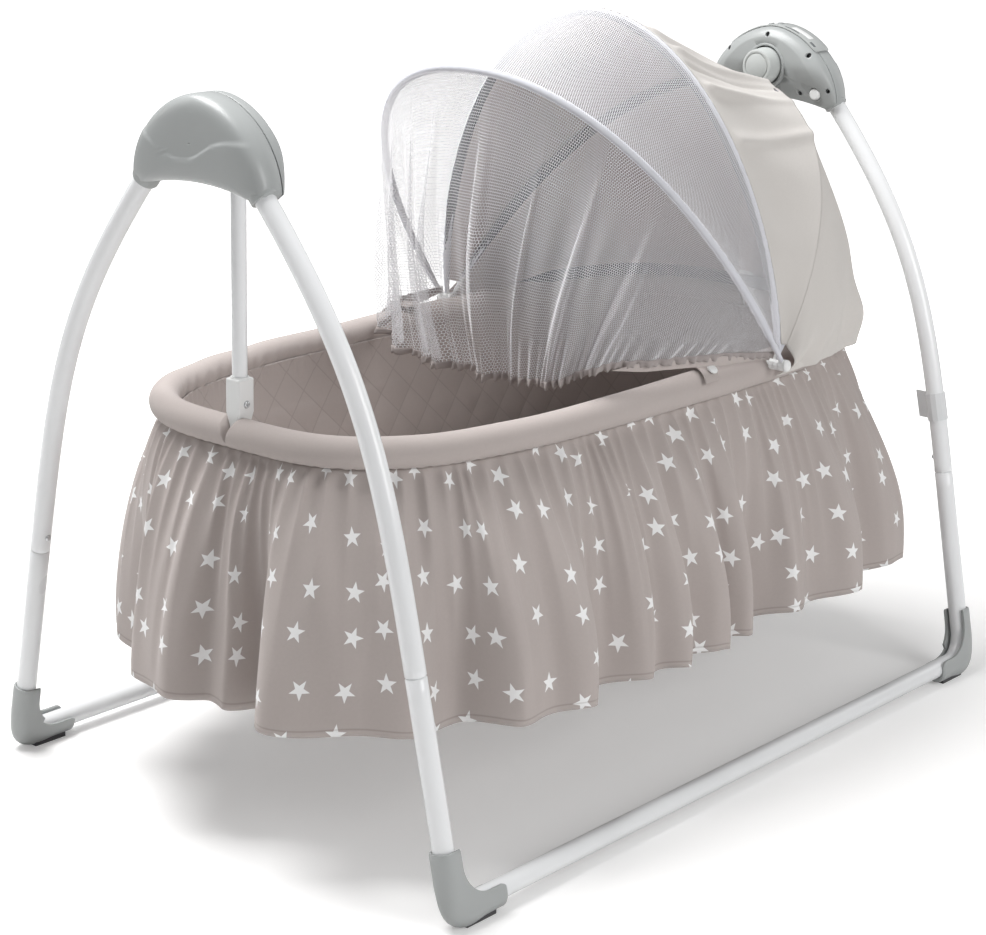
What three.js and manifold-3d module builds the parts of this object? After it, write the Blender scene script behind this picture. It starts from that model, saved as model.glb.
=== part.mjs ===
// Electric baby cradle: a padded oval basket with a star skirt, a folding hood and a mosquito net,
// hung between two A-frames of bent steel tube. X runs along the basket with the motor head at +X,
// Y across it, Z up. The origin is on the floor under the middle. Lengths are in millimetres.
import * as THREE from "three";
import { mergeVertices } from "three/addons/utils/BufferGeometryUtils.js";
import Module from "manifold-3d";

const wasm = await Module();
wasm.setup();

// Driving dimensions of the whole cradle
const clearance = 0.3; // gap between two pieces that touch
const overrun = 6; // how far a cutting shape runs past what it cuts
const weldDistance = 1e-3; // points closer than this are one
const hangerX = 457; // centre to the hanger tubes, which stand over the rim's ends
const frameReach = 34; // from a hanger tube out to its A-frame, at the base tubes
const headReach = 47.86; // and at the swing axis
const footSpreadX = hangerX + frameReach;
const footSpreadY = 330; // centre to the base tubes
const baseHeight = 20; // centre line of the base tubes above the floor
const seamHeight = 253; // where a leg tube plugs onto the base tube
const swingHeight = 738; // the axis that the basket swings about
const rimHeight = 436; // centre line of the basket's rim tube
const rimLength = hangerX; // half length and half width of the rim tube's oval
const rimWidth = 216;
const rimSquareness = 3.5; // exponent of the oval: 2 is an ellipse, more is squarer
const pivotInset = 307; // from the rim's motor end to the axis that the three bows fold about
const pivotX = rimLength - pivotInset;
const pivotAboveRim = 10;
const pivotHeight = rimHeight + pivotAboveRim;

// Base tubes, leg tubes and what joins them
const leg = {
  radius: 11,
  splay: 0.21,
  topSpread: 64,
  intoHead: 21,
  topSlope: 0.876,
  lowerHandle: 220,
  upperHandle: 170,
  boreRadius: 9.6,
  boreDepth: 40,
  sides: 12,
  steps: 10,
  samples: 200,
};
const base = { bendRadius: 34, bendSteps: 5, spigotRadius: 9.3, spigotLength: 36 };
const snap = { radius: 3.4, aboveSeam: 17, proud: 2.4, length: 9, travel: 2.4, sides: 10 };
const cover = {
  wall: 3,
  legReach: 62,
  barReach: 68,
  wingDepth: 20,
  wingShares: [0.3, 0.45, 0.75, 0.95, 1, 0.9, 0.65, 0.45, 0.2],
  archSteps: 6,
};
const pad = { width: 16, start: 13, length: 44, seat: 6 };

// Head housings: a dome over a shallow arch, split across X into an inner and an outer shell
const head = {
  halfWidth: 95,
  domeHeight: 90,
  springBelow: 42, // from the swing axis down to where the dome springs
  archAbove: 2,
  archDrop: 10.5,
  archHalfWidth: 84,
  seamReach: 32, // from the hanger tube out to the seam
  outerDepth: 35.5,
  innerDepth: 22.5,
  chinAbove: 7, // from the swing axis up to where the chin begins to fall back
  outerChinShare: 0.08,
  innerChinShare: 0.8,
  domeSteps: 16,
  archSteps: 4,
};
const domeSquareness = 1.8; // exponent of the dome: 2 is an ellipse, less is more pointed
const springHeight = swingHeight - head.springBelow;
const archHeight = springHeight + head.archAbove;
const seamX = hangerX + head.seamReach;
const outerFaceX = seamX + head.outerDepth;
const innerFaceX = seamX - head.innerDepth;
// Each shell's rings: how far from the seam to its face, and how wide, as shares
const outerShellShares = [[0, 1], [0.55, 1], [0.82, 0.95], [0.96, 0.78], [1, 0.45]];
const innerShellShares = [[0, 1], [0.35, 0.98], [0.8, 0.9], [1, 0.76]];
const shellWall = 3;
const collar = { wall: 3.4, below: 12, above: 10 };

// Swing gear inside the heads
const hub = {
  radius: 23,
  faceRadius: 21.5,
  proud: 20,
  backDepth: 7.5,
  chamfer: 2,
  grooveRadius: 17,
  grooveWidth: 1.2,
  grooveDepth: 1,
  bossClearance: 2,
  ringProud: 0.8,
  sides: 20,
};
const axle = { radius: 6, pastSeam: 14, sides: 12 };
const bearing = { outerRadius: 11, length: 9, runningGap: 0.3 };
const yoke = { thickness: 4, halfWidth: 72, aboveSpring: 7, topAbove: 28, cornerRadius: 12 };
const lever = { thickness: 4, hubRadius: 10, magnetRadius: 8, drop: 22, pastSeam: 7.5, taperPower: 4 };
const coil = { outerRadius: 9, innerRadius: 3.5, gap: 1, length: 15.5, sides: 14 };
const board = {
  width: 52,
  height: 26,
  thickness: 1.6,
  aboveAxis: 16,
  behindFace: 8.5,
  bossRadius: 3.2,
  bossSpread: 20,
  bossSides: 6,
};
const speaker = { radius: 12, depth: 5, spread: 48, belowAxis: 3, behindFace: 4.9, sides: 14 };
const inlet = {
  radius: 5.5,
  length: 16,
  spread: 38,
  aboveSpring: 20,
  socketRadius: 2.8,
  socketDepth: 8,
  sides: 14,
};
const panel = {
  thickness: 1.6,
  innerReach: 8,
  outerReach: 24,
  fromAngle: 46,
  toAngle: 134,
  steps: 12,
};
const panelButtons = [
  { name: "power_button", angle: 112, radius: 5 },
  { name: "speed_button", angle: 100, radius: 4 },
  { name: "timer_button", angle: 90, radius: 4 },
];
const panelButton = { proud: 1.6, depth: 3, sides: 10 };
const release = { radius: 7.5, spread: 68, aboveSpring: 11, proud: 1.9, length: 8, sides: 12 };

// Basket
const hanger = { radius: 8, socketDepth: 13, seatAbove: 34, sides: 14 };
const bracket = { width: 20, depth: 22, topAbove: 57, shoulderAbove: 21, tipBelow: 6, notchGap: 1.5 };
const rim = { radius: 7, steps: 52, sides: 6, divisions: 2000 };
const padding = {
  offset: 6.5,
  radius: 16.5,
  hoodSwell: 2,
  swellFrom: -250,
  swellTo: 100,
  slitAngle: 200,
  slitWidth: 3,
  sides: 8,
};
const tub = { wall: 3, middleInset: 24, middleBelow: 96, floorInset: 46, floorBelow: 186 };
const boardSheet = { thickness: 6, inset: 4 };
const mattress = { height: 34, inset: 3, crown: 5, edgeRound: 5, crownShare: 0.7 };
const skirt = {
  thickness: 2.4,
  topOffset: 9,
  hemOffset: 96,
  hemBelow: 274,
  folds: 25,
  foldSteps: 4,
  foldDepth: 13,
  unevenShare: 0.35,
  unevenFolds: 2.7,
  flareShares: [[0, 0], [0.13, 0.25], [0.4, 0.59], [0.7, 0.88], [1, 1]],
};

// Folding bows, hood, drape and net
const rod = { radius: 3, eyeRadius: 7, pinRadius: 3.2, steps: 20, sides: 6, eyeSides: 12, stepShare: 0.01 };
// The bows straddle the rim: each is so far outside its tube at the pivot
const bows = {
  rear_bow: { tilt: -41, height: 376, outside: 29, squareness: 2 },
  main_bow: { tilt: 6, height: 383, outside: 35.6, squareness: 1.95 },
  net_bow: { tilt: 38, height: 421, outside: 42.2, squareness: 2.2 },
};
const cap = { radius: 8, thickness: 4.5, pinReach: 12, sides: 12 };
const cloth = { thickness: 1.6, rodGap: 0.9, edgeGap: 0.6 };
const hoodShares = [0, 0.33, 0.67, 1]; // its rings, on the way from the main bow to the rear bow
const drape = {
  hemOffset: 28.8,
  hemBelow: 7,
  middleShare: 0.55,
  finerSteps: 4,
  slitHalfWidth: 13,
  slitAbove: 146,
  slitDepth: 27,
  bulge: 16,
  bulgeFrom: 120,
};
// The net's lower edge runs through these places: so far ahead of the pivot, and outside and above the rim
const net = {
  folds: 8,
  foldDepth: 9,
  cornerShare: 0.22,
  curtainShares: [0, 0.35, 0.7, 1],
  front: { ahead: 250, outside: -8, above: 42 },
  middle: { ahead: 250, above: 12 },
  back: { ahead: 222, outside: -8, above: 42 },
  side: { ahead: 30, outside: 31, above: 27 },
};

const tag = { width: 15.5, height: 34, thickness: 0.8, aboveSeam: 65 };

// Colours of the photographed finish
const finish = {
  whitePaint: new THREE.MeshStandardMaterial({ color: 0xf1f2f3, roughness: 0.28, metalness: 0.1 }),
  greyPlastic: new THREE.MeshStandardMaterial({ color: 0xa3a8a8, roughness: 0.45, metalness: 0 }),
  whitePlastic: new THREE.MeshStandardMaterial({ color: 0xf4f4f2, roughness: 0.35, metalness: 0 }),
  darkRubber: new THREE.MeshStandardMaterial({ color: 0x4a4c4d, roughness: 0.8, metalness: 0 }),
  steel: new THREE.MeshStandardMaterial({ color: 0xb9bcbf, roughness: 0.35, metalness: 0.9 }),
  copper: new THREE.MeshStandardMaterial({ color: 0xb5713c, roughness: 0.4, metalness: 0.9 }),
  boardGreen: new THREE.MeshStandardMaterial({ color: 0x2f6b46, roughness: 0.6, metalness: 0 }),
  taupeCloth: new THREE.MeshStandardMaterial({ color: 0xada29e, roughness: 0.9, metalness: 0 }),
  paleCloth: new THREE.MeshStandardMaterial({ color: 0xd9d5cf, roughness: 0.9, metalness: 0 }),
  netCloth: new THREE.MeshStandardMaterial({ color: 0xf2f2f4, roughness: 0.9, metalness: 0 }),
  boardWood: new THREE.MeshStandardMaterial({ color: 0xc9a878, roughness: 0.7, metalness: 0 }),
};

const axisX = new THREE.Vector3(1, 0, 0);
const axisY = new THREE.Vector3(0, 1, 0);
const axisZ = new THREE.Vector3(0, 0, 1);
const cradle = new THREE.Group();

function addPiece(name, geometry, material) {
  const mesh = new THREE.Mesh(geometry, material);
  mesh.name = name;
  cradle.add(mesh);
}

function point(x, y, z) {
  return new THREE.Vector3(x, y, z);
}

// Turns every face of a closed geometry outwards.
function facingOut(geometry) {
  const p = geometry.attributes.position;
  const faces = geometry.index.array;
  const [a, b, c] = [point(0, 0, 0), point(0, 0, 0), point(0, 0, 0)];
  let volume = 0;
  for (let i = 0; i < faces.length; i += 3) {
    a.fromBufferAttribute(p, faces[i]);
    b.fromBufferAttribute(p, faces[i + 1]);
    c.fromBufferAttribute(p, faces[i + 2]);
    volume += a.dot(b.cross(c));
  }
  if (volume < 0)
    for (let i = 0; i < faces.length; i += 3)
      [faces[i + 1], faces[i + 2]] = [faces[i + 2], faces[i + 1]];
  return geometry;
}

// Triangles that close a flat or nearly flat ring of points.
function capFaces(ring) {
  const normal = point(0, 0, 0);
  ring.forEach((p, i) => normal.add(p.clone().cross(ring[(i + 1) % ring.length])));
  normal.normalize();
  const across = ring[0].clone().sub(ring[Math.floor(ring.length / 2)]).projectOnPlane(normal).normalize();
  const up = normal.clone().cross(across);
  const flat = ring.map((p) => new THREE.Vector2(p.dot(across), p.dot(up)));
  return THREE.ShapeUtils.triangulateShape(flat, []);
}

// A closed body through rings of equally many points; a looped one joins its last ring to its first.
function loft(rings, looped = false) {
  const count = rings[0].length;
  const faces = [];
  const spans = looped ? rings.length : rings.length - 1;
  for (let i = 0; i < spans; i++) {
    const here = i * count;
    const next = ((i + 1) % rings.length) * count;
    for (let j = 0; j < count; j++) {
      const k = (j + 1) % count;
      faces.push(here + j, here + k, next + k, here + j, next + k, next + j);
    }
  }
  if (!looped) {
    const last = (rings.length - 1) * count;
    for (const [a, b, c] of capFaces(rings[0])) faces.push(a, c, b);
    for (const [a, b, c] of capFaces(rings[rings.length - 1])) faces.push(last + a, last + b, last + c);
  }
  const geometry = new THREE.BufferGeometry().setFromPoints(rings.flat());
  return facingOut(geometry.setIndex(faces));
}

// Direction of travel at each station; stations at one place share it.
function directions(stations) {
  return stations.map(({ at }) => {
    const before = stations.filter((s, i) => i < stations.findIndex((o) => o.at.equals(at)));
    const after = stations.slice(stations.findLastIndex((o) => o.at.equals(at)) + 1);
    const from = before.length ? before[before.length - 1].at : at;
    const to = after.length ? after[0].at : at;
    return to.clone().sub(from).normalize();
  });
}

// A round bar through stations that each have a centre and a radius.
function pipe(stations, reference, sides) {
  const travel = directions(stations);
  return loft(
    stations.map(({ at, radius }, i) => {
      const across = reference.clone().projectOnPlane(travel[i]).normalize();
      const up = travel[i].clone().cross(across);
      return Array.from({ length: sides }, (_, j) => {
        const angle = (j / sides) * 2 * Math.PI;
        const sideways = across.clone().multiplyScalar(radius * Math.cos(angle));
        return at.clone().add(sideways).addScaledVector(up, radius * Math.sin(angle));
      });
    }),
  );
}

// A straight round bar from one point to another.
function bar(from, to, radius, sides) {
  const reference = Math.abs(to.x - from.x) > Math.abs(to.z - from.z) ? axisZ : axisX;
  return pipe([{ at: from, radius }, { at: to, radius }], reference, sides);
}

// A body turned about an axis along X: pairs of X place and radius, closed on the axis or on itself.
function turnedAboutX(profile, centre, sides) {
  const outline = profile.map(([x, r]) => new THREE.Vector2(r, x));
  const body = new THREE.LatheGeometry(outline, sides);
  body.rotateZ(-Math.PI / 2);
  body.rotateX(Math.PI / 2);
  body.translate(0, centre.y, centre.z);
  return facingOut(welded(body));
}

function welded(geometry) {
  const bare = geometry.clone();
  bare.deleteAttribute("normal");
  bare.deleteAttribute("uv");
  const merged = mergeVertices(bare, weldDistance);
  const faces = [];
  const index = merged.index.array;
  for (let i = 0; i < index.length; i += 3) {
    const [a, b, c] = [index[i], index[i + 1], index[i + 2]];
    if (a !== b && b !== c && c !== a) faces.push(a, b, c);
  }
  return merged.setIndex(faces);
}

function solidOf(geometry) {
  const body = facingOut(welded(geometry));
  return new wasm.Manifold(
    new wasm.Mesh({
      numProp: 3,
      vertProperties: new Float32Array(body.attributes.position.array),
      triVerts: new Uint32Array(body.index.array),
    }),
  );
}

function geometryOf(solid) {
  const mesh = solid.getMesh();
  const geometry = new THREE.BufferGeometry();
  geometry.setAttribute("position", new THREE.BufferAttribute(new Float32Array(mesh.vertProperties), 3));
  return geometry.setIndex(Array.from(mesh.triVerts));
}

function cut(body, ...tools) {
  return geometryOf(tools.reduce((solid, tool) => solid.subtract(solidOf(tool)), solidOf(body)));
}

function join(body, ...others) {
  return geometryOf(others.reduce((solid, other) => solid.add(solidOf(other)), solidOf(body)));
}

// The same piece at another corner: signs of X and Y.
function mirrored(geometry, signX, signY) {
  const copy = geometry.clone();
  copy.applyMatrix4(new THREE.Matrix4().makeScale(signX, signY, 1));
  return facingOut(copy);
}

function box(low, high) {
  const size = high.clone().sub(low);
  const body = new THREE.BoxGeometry(size.x, size.y, size.z);
  const middle = low.clone().add(high).divideScalar(2);
  return body.translate(middle.x, middle.y, middle.z);
}

const corners = [
  { name: "front_idle", x: -1, y: -1 },
  { name: "back_idle", x: -1, y: 1 },
  { name: "front_motor", x: 1, y: -1 },
  { name: "back_motor", x: 1, y: 1 },
];
const ends = [
  { name: "idle", x: -1 },
  { name: "motor", x: 1 },
];
const sides = [
  { name: "front", y: -1 },
  { name: "back", y: 1 },
];

// Stand: the centre line of the leg in the +X +Y corner
function legX(height) {
  const share = (height - baseHeight) / (swingHeight - baseHeight);
  return footSpreadX + (headReach - frameReach) * share;
}

function straightLegPoint(height) {
  return point(legX(height), footSpreadY - leg.splay * (height - baseHeight), height);
}

const legTop = springHeight + leg.intoHead;
const upperHandleHeight = legTop - leg.upperHandle;
const legBend = new THREE.CubicBezierCurve3(
  straightLegPoint(seamHeight),
  straightLegPoint(seamHeight + leg.lowerHandle),
  point(legX(upperHandleHeight), leg.topSpread + leg.topSlope * leg.upperHandle, upperHandleHeight),
  point(legX(legTop), leg.topSpread, legTop),
);

function legPointAt(height) {
  const samples = legBend.getPoints(leg.samples);
  return samples.reduce((best, p) => (Math.abs(p.z - height) < Math.abs(best.z - height) ? p : best));
}

// Rounds the corner between two directions that leave a point.
function roundedCorner(corner, towardA, towardB, radius, steps) {
  const half = towardA.angleTo(towardB) / 2;
  const reach = radius / Math.tan(half);
  const inward = towardA.clone().add(towardB).normalize();
  const centre = corner.clone().addScaledVector(inward, radius / Math.sin(half));
  const start = corner.clone().addScaledVector(towardA, reach).sub(centre);
  const end = corner.clone().addScaledVector(towardB, reach).sub(centre);
  const turn = start.angleTo(end);
  return Array.from({ length: steps + 1 }, (_, i) => {
    const angle = (i / steps) * turn;
    const share = Math.sin(turn - angle) / Math.sin(turn);
    const other = Math.sin(angle) / Math.sin(turn);
    return centre.clone().addScaledVector(start, share).addScaledVector(end, other);
  });
}

const footCorner = straightLegPoint(baseHeight);
const upTheLeg = straightLegPoint(seamHeight).sub(footCorner).normalize();
const alongTheBar = point(-1, 0, 0);
const footPlaneNormal = alongTheBar.clone().cross(upTheLeg).normalize();
const footBend = roundedCorner(footCorner, upTheLeg, alongTheBar, base.bendRadius, base.bendSteps);

function baseTube() {
  const spigotTop = straightLegPoint(seamHeight + base.spigotLength);
  const shoulder = straightLegPoint(seamHeight);
  const half = [
    { at: spigotTop, radius: base.spigotRadius },
    { at: shoulder, radius: base.spigotRadius },
    { at: shoulder, radius: leg.radius },
    ...footBend.map((at) => ({ at, radius: leg.radius })),
  ];
  const otherHalf = half.map(({ at, radius }) => ({ at: at.clone().setX(-at.x), radius })).reverse();
  return pipe([...half, ...otherHalf], footPlaneNormal, leg.sides);
}

// A round body along the whole leg tube, at the tube's own facets.
function alongTheLeg(radius) {
  const start = straightLegPoint(seamHeight + clearance);
  const route = [start, ...legBend.getPoints(leg.steps).slice(1)];
  return pipe(route.map((at) => ({ at, radius })), axisX, leg.sides);
}

function legTube() {
  const tube = alongTheLeg(leg.radius);
  const boreEnd = straightLegPoint(seamHeight + leg.boreDepth);
  const bore = pipe(
    [
      { at: straightLegPoint(seamHeight - overrun), radius: leg.boreRadius },
      { at: boreEnd, radius: leg.boreRadius },
    ],
    axisX,
    leg.sides,
  );
  return cut(tube, bore, snapBore(snap.radius + clearance));
}

// The spring button that locks the two tubes points inwards, towards Y = 0.
const snapCentre = straightLegPoint(seamHeight + snap.aboveSeam);

function snapBore(radius) {
  const outside = snapCentre.clone().addScaledVector(axisY, -leg.radius - overrun);
  const depth = snap.length + snap.travel + clearance - leg.radius - snap.proud;
  const inside = snapCentre.clone().addScaledVector(axisY, depth);
  return bar(outside, inside, radius, snap.sides);
}

function snapButton() {
  const tip = snapCentre.clone().addScaledVector(axisY, -leg.radius - snap.proud);
  const root = tip.clone().addScaledVector(axisY, snap.length);
  return bar(tip, root, snap.radius, snap.sides);
}

// Boot over a bend: a half pipe round the outside of the tube with two wings that reach inwards.
function footCover() {
  const top = footCorner.clone().addScaledVector(upTheLeg, cover.legReach);
  const tip = footCorner.clone().addScaledVector(alongTheBar, cover.barReach);
  const route = [top, ...footBend, tip];
  const beforeTip = footBend[footBend.length - 1].clone().lerp(tip, 1 / 2);
  route.splice(route.length - 1, 0, beforeTip);
  const travel = directions(route.map((at) => ({ at })));
  const inner = leg.radius + clearance;
  const outer = inner + cover.wall;
  return loft(
    route.map((at, i) => {
      const outward = travel[i].clone().cross(footPlaneNormal).negate();
      if (outward.dot(footCorner.clone().sub(footBend[2])) < 0) outward.negate();
      const wing = cover.wingDepth * cover.wingShares[i];
      const place = (side, out) =>
        at.clone().addScaledVector(footPlaneNormal, side).addScaledVector(outward, out);
      const arch = (radius) =>
        Array.from({ length: cover.archSteps + 1 }, (_, j) => {
          const angle = (j / cover.archSteps) * Math.PI;
          return place(radius * Math.cos(angle), radius * Math.sin(angle));
        });
      const outerSkin = [place(outer, -wing), ...arch(outer), place(-outer, -wing)];
      const innerSkin = [place(-inner, -wing), ...arch(inner).reverse(), place(inner, -wing)];
      return [...outerSkin, ...innerSkin];
    }),
  );
}

function footPad() {
  const low = point(footCorner.x - pad.start - pad.length, footCorner.y - pad.width / 2, 0);
  const high = point(footCorner.x - pad.start, footCorner.y + pad.width / 2, baseHeight - pad.seat);
  const shellRadius = leg.radius + cover.wall + 2 * clearance;
  const past = point(0, footCorner.y, baseHeight);
  const route = [straightLegPoint(seamHeight), ...footBend, past].map((at) => ({ at, radius: shellRadius }));
  return cut(box(low, high), pipe(route, footPlaneNormal, leg.sides));
}

for (const side of sides) {
  const pockets = ends.map((end) => mirrored(snapBore(snap.radius + clearance), end.x, 1));
  addPiece(`base_tube_${side.name}`, mirrored(cut(baseTube(), ...pockets), 1, side.y), finish.whitePaint);
}

for (const corner of corners) {
  addPiece(`leg_tube_${corner.name}`, mirrored(legTube(), corner.x, corner.y), finish.whitePaint);
  addPiece(`leg_snap_button_${corner.name}`, mirrored(snapButton(), corner.x, corner.y), finish.steel);
  addPiece(`foot_cover_${corner.name}`, mirrored(footCover(), corner.x, corner.y), finish.greyPlastic);
  addPiece(`foot_pad_${corner.name}`, mirrored(footPad(), corner.x, corner.y), finish.darkRubber);
}

// Bare label wrapped round a leg, its two ends stuck together as a flag on the inner side
function legTag() {
  const bottom = seamHeight + tag.aboveSeam;
  const low = legPointAt(bottom);
  const high = legPointAt(bottom + tag.height);
  const reach = leg.radius + tag.width;
  const flag = plate(
    [
      new THREE.Vector2(low.y, low.z),
      new THREE.Vector2(high.y, high.z),
      new THREE.Vector2(high.y - reach, high.z),
      new THREE.Vector2(low.y - reach, low.z),
    ],
    legX(bottom) - tag.thickness / 2,
    tag.thickness,
    [],
  );
  const wrap = bar(low, high, leg.radius + 2 * clearance + tag.thickness, leg.sides);
  return cut(join(wrap, flag), alongTheLeg(leg.radius + clearance));
}
addPiece("leg_label_flag", mirrored(legTag(), 1, -1), finish.whitePlastic);

// Head housings
const headCentre = point(0, 0, swingHeight);

// The head's outline, drawn in towards its centre by a share, at depths from a plane that depthAt gives.
function headRing(share, planeX, depthAt) {
  const power = 2 / domeSquareness;
  const outline = [];
  for (let i = 0; i <= head.domeSteps; i++) {
    const angle = (i / head.domeSteps) * Math.PI;
    const across = Math.sign(Math.cos(angle)) * Math.abs(Math.cos(angle)) ** power;
    outline.push([head.halfWidth * across, springHeight + head.domeHeight * Math.sin(angle) ** power]);
  }
  for (let i = 0; i <= head.archSteps; i++) {
    const across = (2 * i) / head.archSteps - 1;
    outline.push([head.archHalfWidth * across, archHeight - head.archDrop * across ** 2]);
  }
  return outline.map(([y, z]) => {
    const height = headCentre.z + (z - headCentre.z) * share;
    return point(planeX + depthAt(height), y * share, height);
  });
}

// Share of a shell's depth that is left at a height, as its chin falls back towards the seam.
function depthShare(height, chinShare) {
  const raised = THREE.MathUtils.smoothstep(height, archHeight - head.archDrop, swingHeight + head.chinAbove);
  return 1 - chinShare * (1 - raised);
}

// A cup-shaped shell from a plane at the seam, so deep, to its face.
function headShell(shares, planeX, depth, chinShare) {
  const shrink = shellWall / head.halfWidth;
  const depthAt = (height) => depth * depthShare(height, chinShare);
  const outerSkin = shares.map(([along, wide]) => headRing(wide, planeX, (z) => depthAt(z) * along));
  const wall = Math.sign(depth) * shellWall;
  const innerSkin = shares.map(([along, wide]) =>
    headRing(wide - shrink, planeX, (z) => (depthAt(z) - wall) * along),
  );
  return loft([...innerSkin.reverse(), ...outerSkin]);
}

function headLegHoles() {
  const hole = alongTheLeg(leg.radius + clearance);
  return [hole, mirrored(hole, 1, -1)];
}

function headCollars() {
  const exit = legPointAt(springHeight);
  const lower = legPointAt(springHeight - collar.below);
  const along = legPointAt(springHeight + collar.above).sub(lower).normalize();
  const from = exit.clone().addScaledVector(along, -collar.below);
  const to = exit.clone().addScaledVector(along, collar.above);
  const ring = bar(from, to, leg.radius + collar.wall, leg.sides);
  return [ring, mirrored(ring, 1, -1)];
}

const boardX = outerFaceX - board.behindFace;
const boardHeight = swingHeight + board.aboveAxis;
const inletAt = (x) => point(x, -inlet.spread, springHeight + inlet.aboveSpring);

function outerShell(isMotor) {
  const shell = headShell(outerShellShares, seamX, head.outerDepth, head.outerChinShare);
  const body = join(shell, ...headCollars());
  if (!isMotor) return cut(body, ...headLegHoles());
  const bosses = [-1, 1].map((side) =>
    bar(
      point(boardX + board.thickness / 2 + clearance, side * board.bossSpread, boardHeight),
      point(outerFaceX - shellWall / 2, side * board.bossSpread, boardHeight),
      board.bossRadius,
      board.bossSides,
    ),
  );
  const inletHole = bar(
    inletAt(outerFaceX + overrun),
    inletAt(outerFaceX - inlet.length),
    inlet.radius + clearance,
    inlet.sides,
  );
  return cut(join(body, ...bosses), ...headLegHoles(), inletHole);
}

function innerShell() {
  const depth = clearance - head.innerDepth;
  const shell = headShell(innerShellShares, seamX - clearance, depth, head.innerChinShare);
  const aroundHub = (fromX, toX, radius) =>
    bar(point(fromX, 0, swingHeight), point(toX, 0, swingHeight), radius, hub.sides);
  const holeRadius = hub.radius + hub.bossClearance;
  const hubRing = aroundHub(innerFaceX - hub.ringProud, seamX - 2 * clearance, holeRadius + shellWall);
  const hubHole = aroundHub(innerFaceX - overrun, seamX + overrun, holeRadius);
  const buttons = [-1, 1].map((side) =>
    releaseBar(side, innerFaceX - overrun, seamX + overrun, release.radius + clearance),
  );
  return cut(join(shell, hubRing), hubHole, ...buttons);
}

const releaseHeight = springHeight + release.aboveSpring;

function releaseBar(side, fromX, toX, radius) {
  const y = side * release.spread;
  return bar(point(fromX, y, releaseHeight), point(toX, y, releaseHeight), radius, release.sides);
}

function releaseButton(side) {
  const shellFace = seamX - clearance - head.innerDepth * depthShare(releaseHeight, head.innerChinShare);
  const faceX = shellFace - release.proud;
  return releaseBar(side, faceX, faceX + release.length, release.radius);
}

function hubBody() {
  const faceX = innerFaceX - hub.proud;
  const backX = innerFaceX + hub.backDepth;
  const axleEnd = seamX + axle.pastSeam;
  const profile = [
    [faceX, 0],
    [faceX, hub.grooveRadius - hub.grooveWidth],
    [faceX + hub.grooveDepth, hub.grooveRadius - hub.grooveWidth],
    [faceX + hub.grooveDepth, hub.grooveRadius],
    [faceX, hub.grooveRadius],
    [faceX, hub.faceRadius - hub.chamfer],
    [faceX + hub.chamfer, hub.faceRadius],
    [innerFaceX, hub.radius],
    [backX, hub.radius],
    [backX, axle.radius],
    [axleEnd, axle.radius],
    [axleEnd, 0],
  ];
  const socket = bar(
    point(hangerX, 0, swingHeight - hub.radius - overrun),
    point(hangerX, 0, swingHeight - hub.radius + hanger.socketDepth),
    hanger.radius + clearance,
    hanger.sides,
  );
  return cut(turnedAboutX(profile, headCentre, hub.sides), socket);
}

// A flat plate in a YZ plane: an outline with rounded corners and round holes.
function plate(outline, startX, thickness, holes) {
  const shape = new THREE.Shape(outline);
  for (const { y, z, radius } of holes) {
    const hole = new THREE.Path().absarc(y, z, radius, 0, 2 * Math.PI, true);
    shape.holes.push(hole);
  }
  const options = { depth: thickness, bevelEnabled: false, curveSegments: axle.sides / 2 };
  const body = new THREE.ExtrudeGeometry(shape, options);
  const toYZ = new THREE.Matrix4().makeBasis(axisY, axisZ, axisX);
  return facingOut(welded(body.applyMatrix4(toYZ).translate(startX, 0, 0)));
}

const yokeBackX = legX(swingHeight) - leg.radius - 2 * clearance;

function yokePlate() {
  const w = yoke.halfWidth;
  const r = yoke.cornerRadius;
  const bottom = springHeight + yoke.aboveSpring;
  const top = swingHeight + yoke.topAbove;
  const outline = [
    new THREE.Vector2(-w, bottom),
    new THREE.Vector2(w, bottom),
    new THREE.Vector2(w, bottom + r),
    new THREE.Vector2(w / 2, top - r / 2),
    new THREE.Vector2(w / 2 - r, top),
    new THREE.Vector2(r - w / 2, top),
    new THREE.Vector2(-w / 2, top - r / 2),
    new THREE.Vector2(-w, bottom + r),
  ];
  const hole = { y: 0, z: swingHeight, radius: bearing.outerRadius + clearance };
  return plate(outline, yokeBackX - yoke.thickness, yoke.thickness, [hole]);
}

function bearingRing() {
  const inner = axle.radius + bearing.runningGap;
  const middle = yokeBackX - yoke.thickness / 2;
  const from = middle - bearing.length / 2;
  const to = middle + bearing.length / 2;
  const profile = [
    [from, inner],
    [from, bearing.outerRadius],
    [to, bearing.outerRadius],
    [to, inner],
    [from, inner],
  ];
  return turnedAboutX(profile, headCentre, axle.sides);
}

for (const end of ends) {
  addPiece(`${end.name}_outer_shell`, mirrored(outerShell(end.x > 0), end.x, 1), finish.greyPlastic);
  addPiece(`${end.name}_inner_shell`, mirrored(innerShell(), end.x, 1), finish.greyPlastic);
  addPiece(`${end.name}_yoke`, mirrored(yokePlate(), end.x, 1), finish.steel);
  addPiece(`${end.name}_bearing`, mirrored(bearingRing(), end.x, 1), finish.steel);
  addPiece(`${end.name}_hub`, mirrored(hubBody(), end.x, 1), finish.greyPlastic);
  for (const side of sides) {
    const button = mirrored(releaseButton(side.y), end.x, 1);
    addPiece(`${end.name}_release_button_${side.name}`, button, finish.whitePlastic);
  }
}

// Swing drive in the motor head: a magnet on a lever that the coil pushes
const leverX = seamX + lever.pastSeam;

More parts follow.
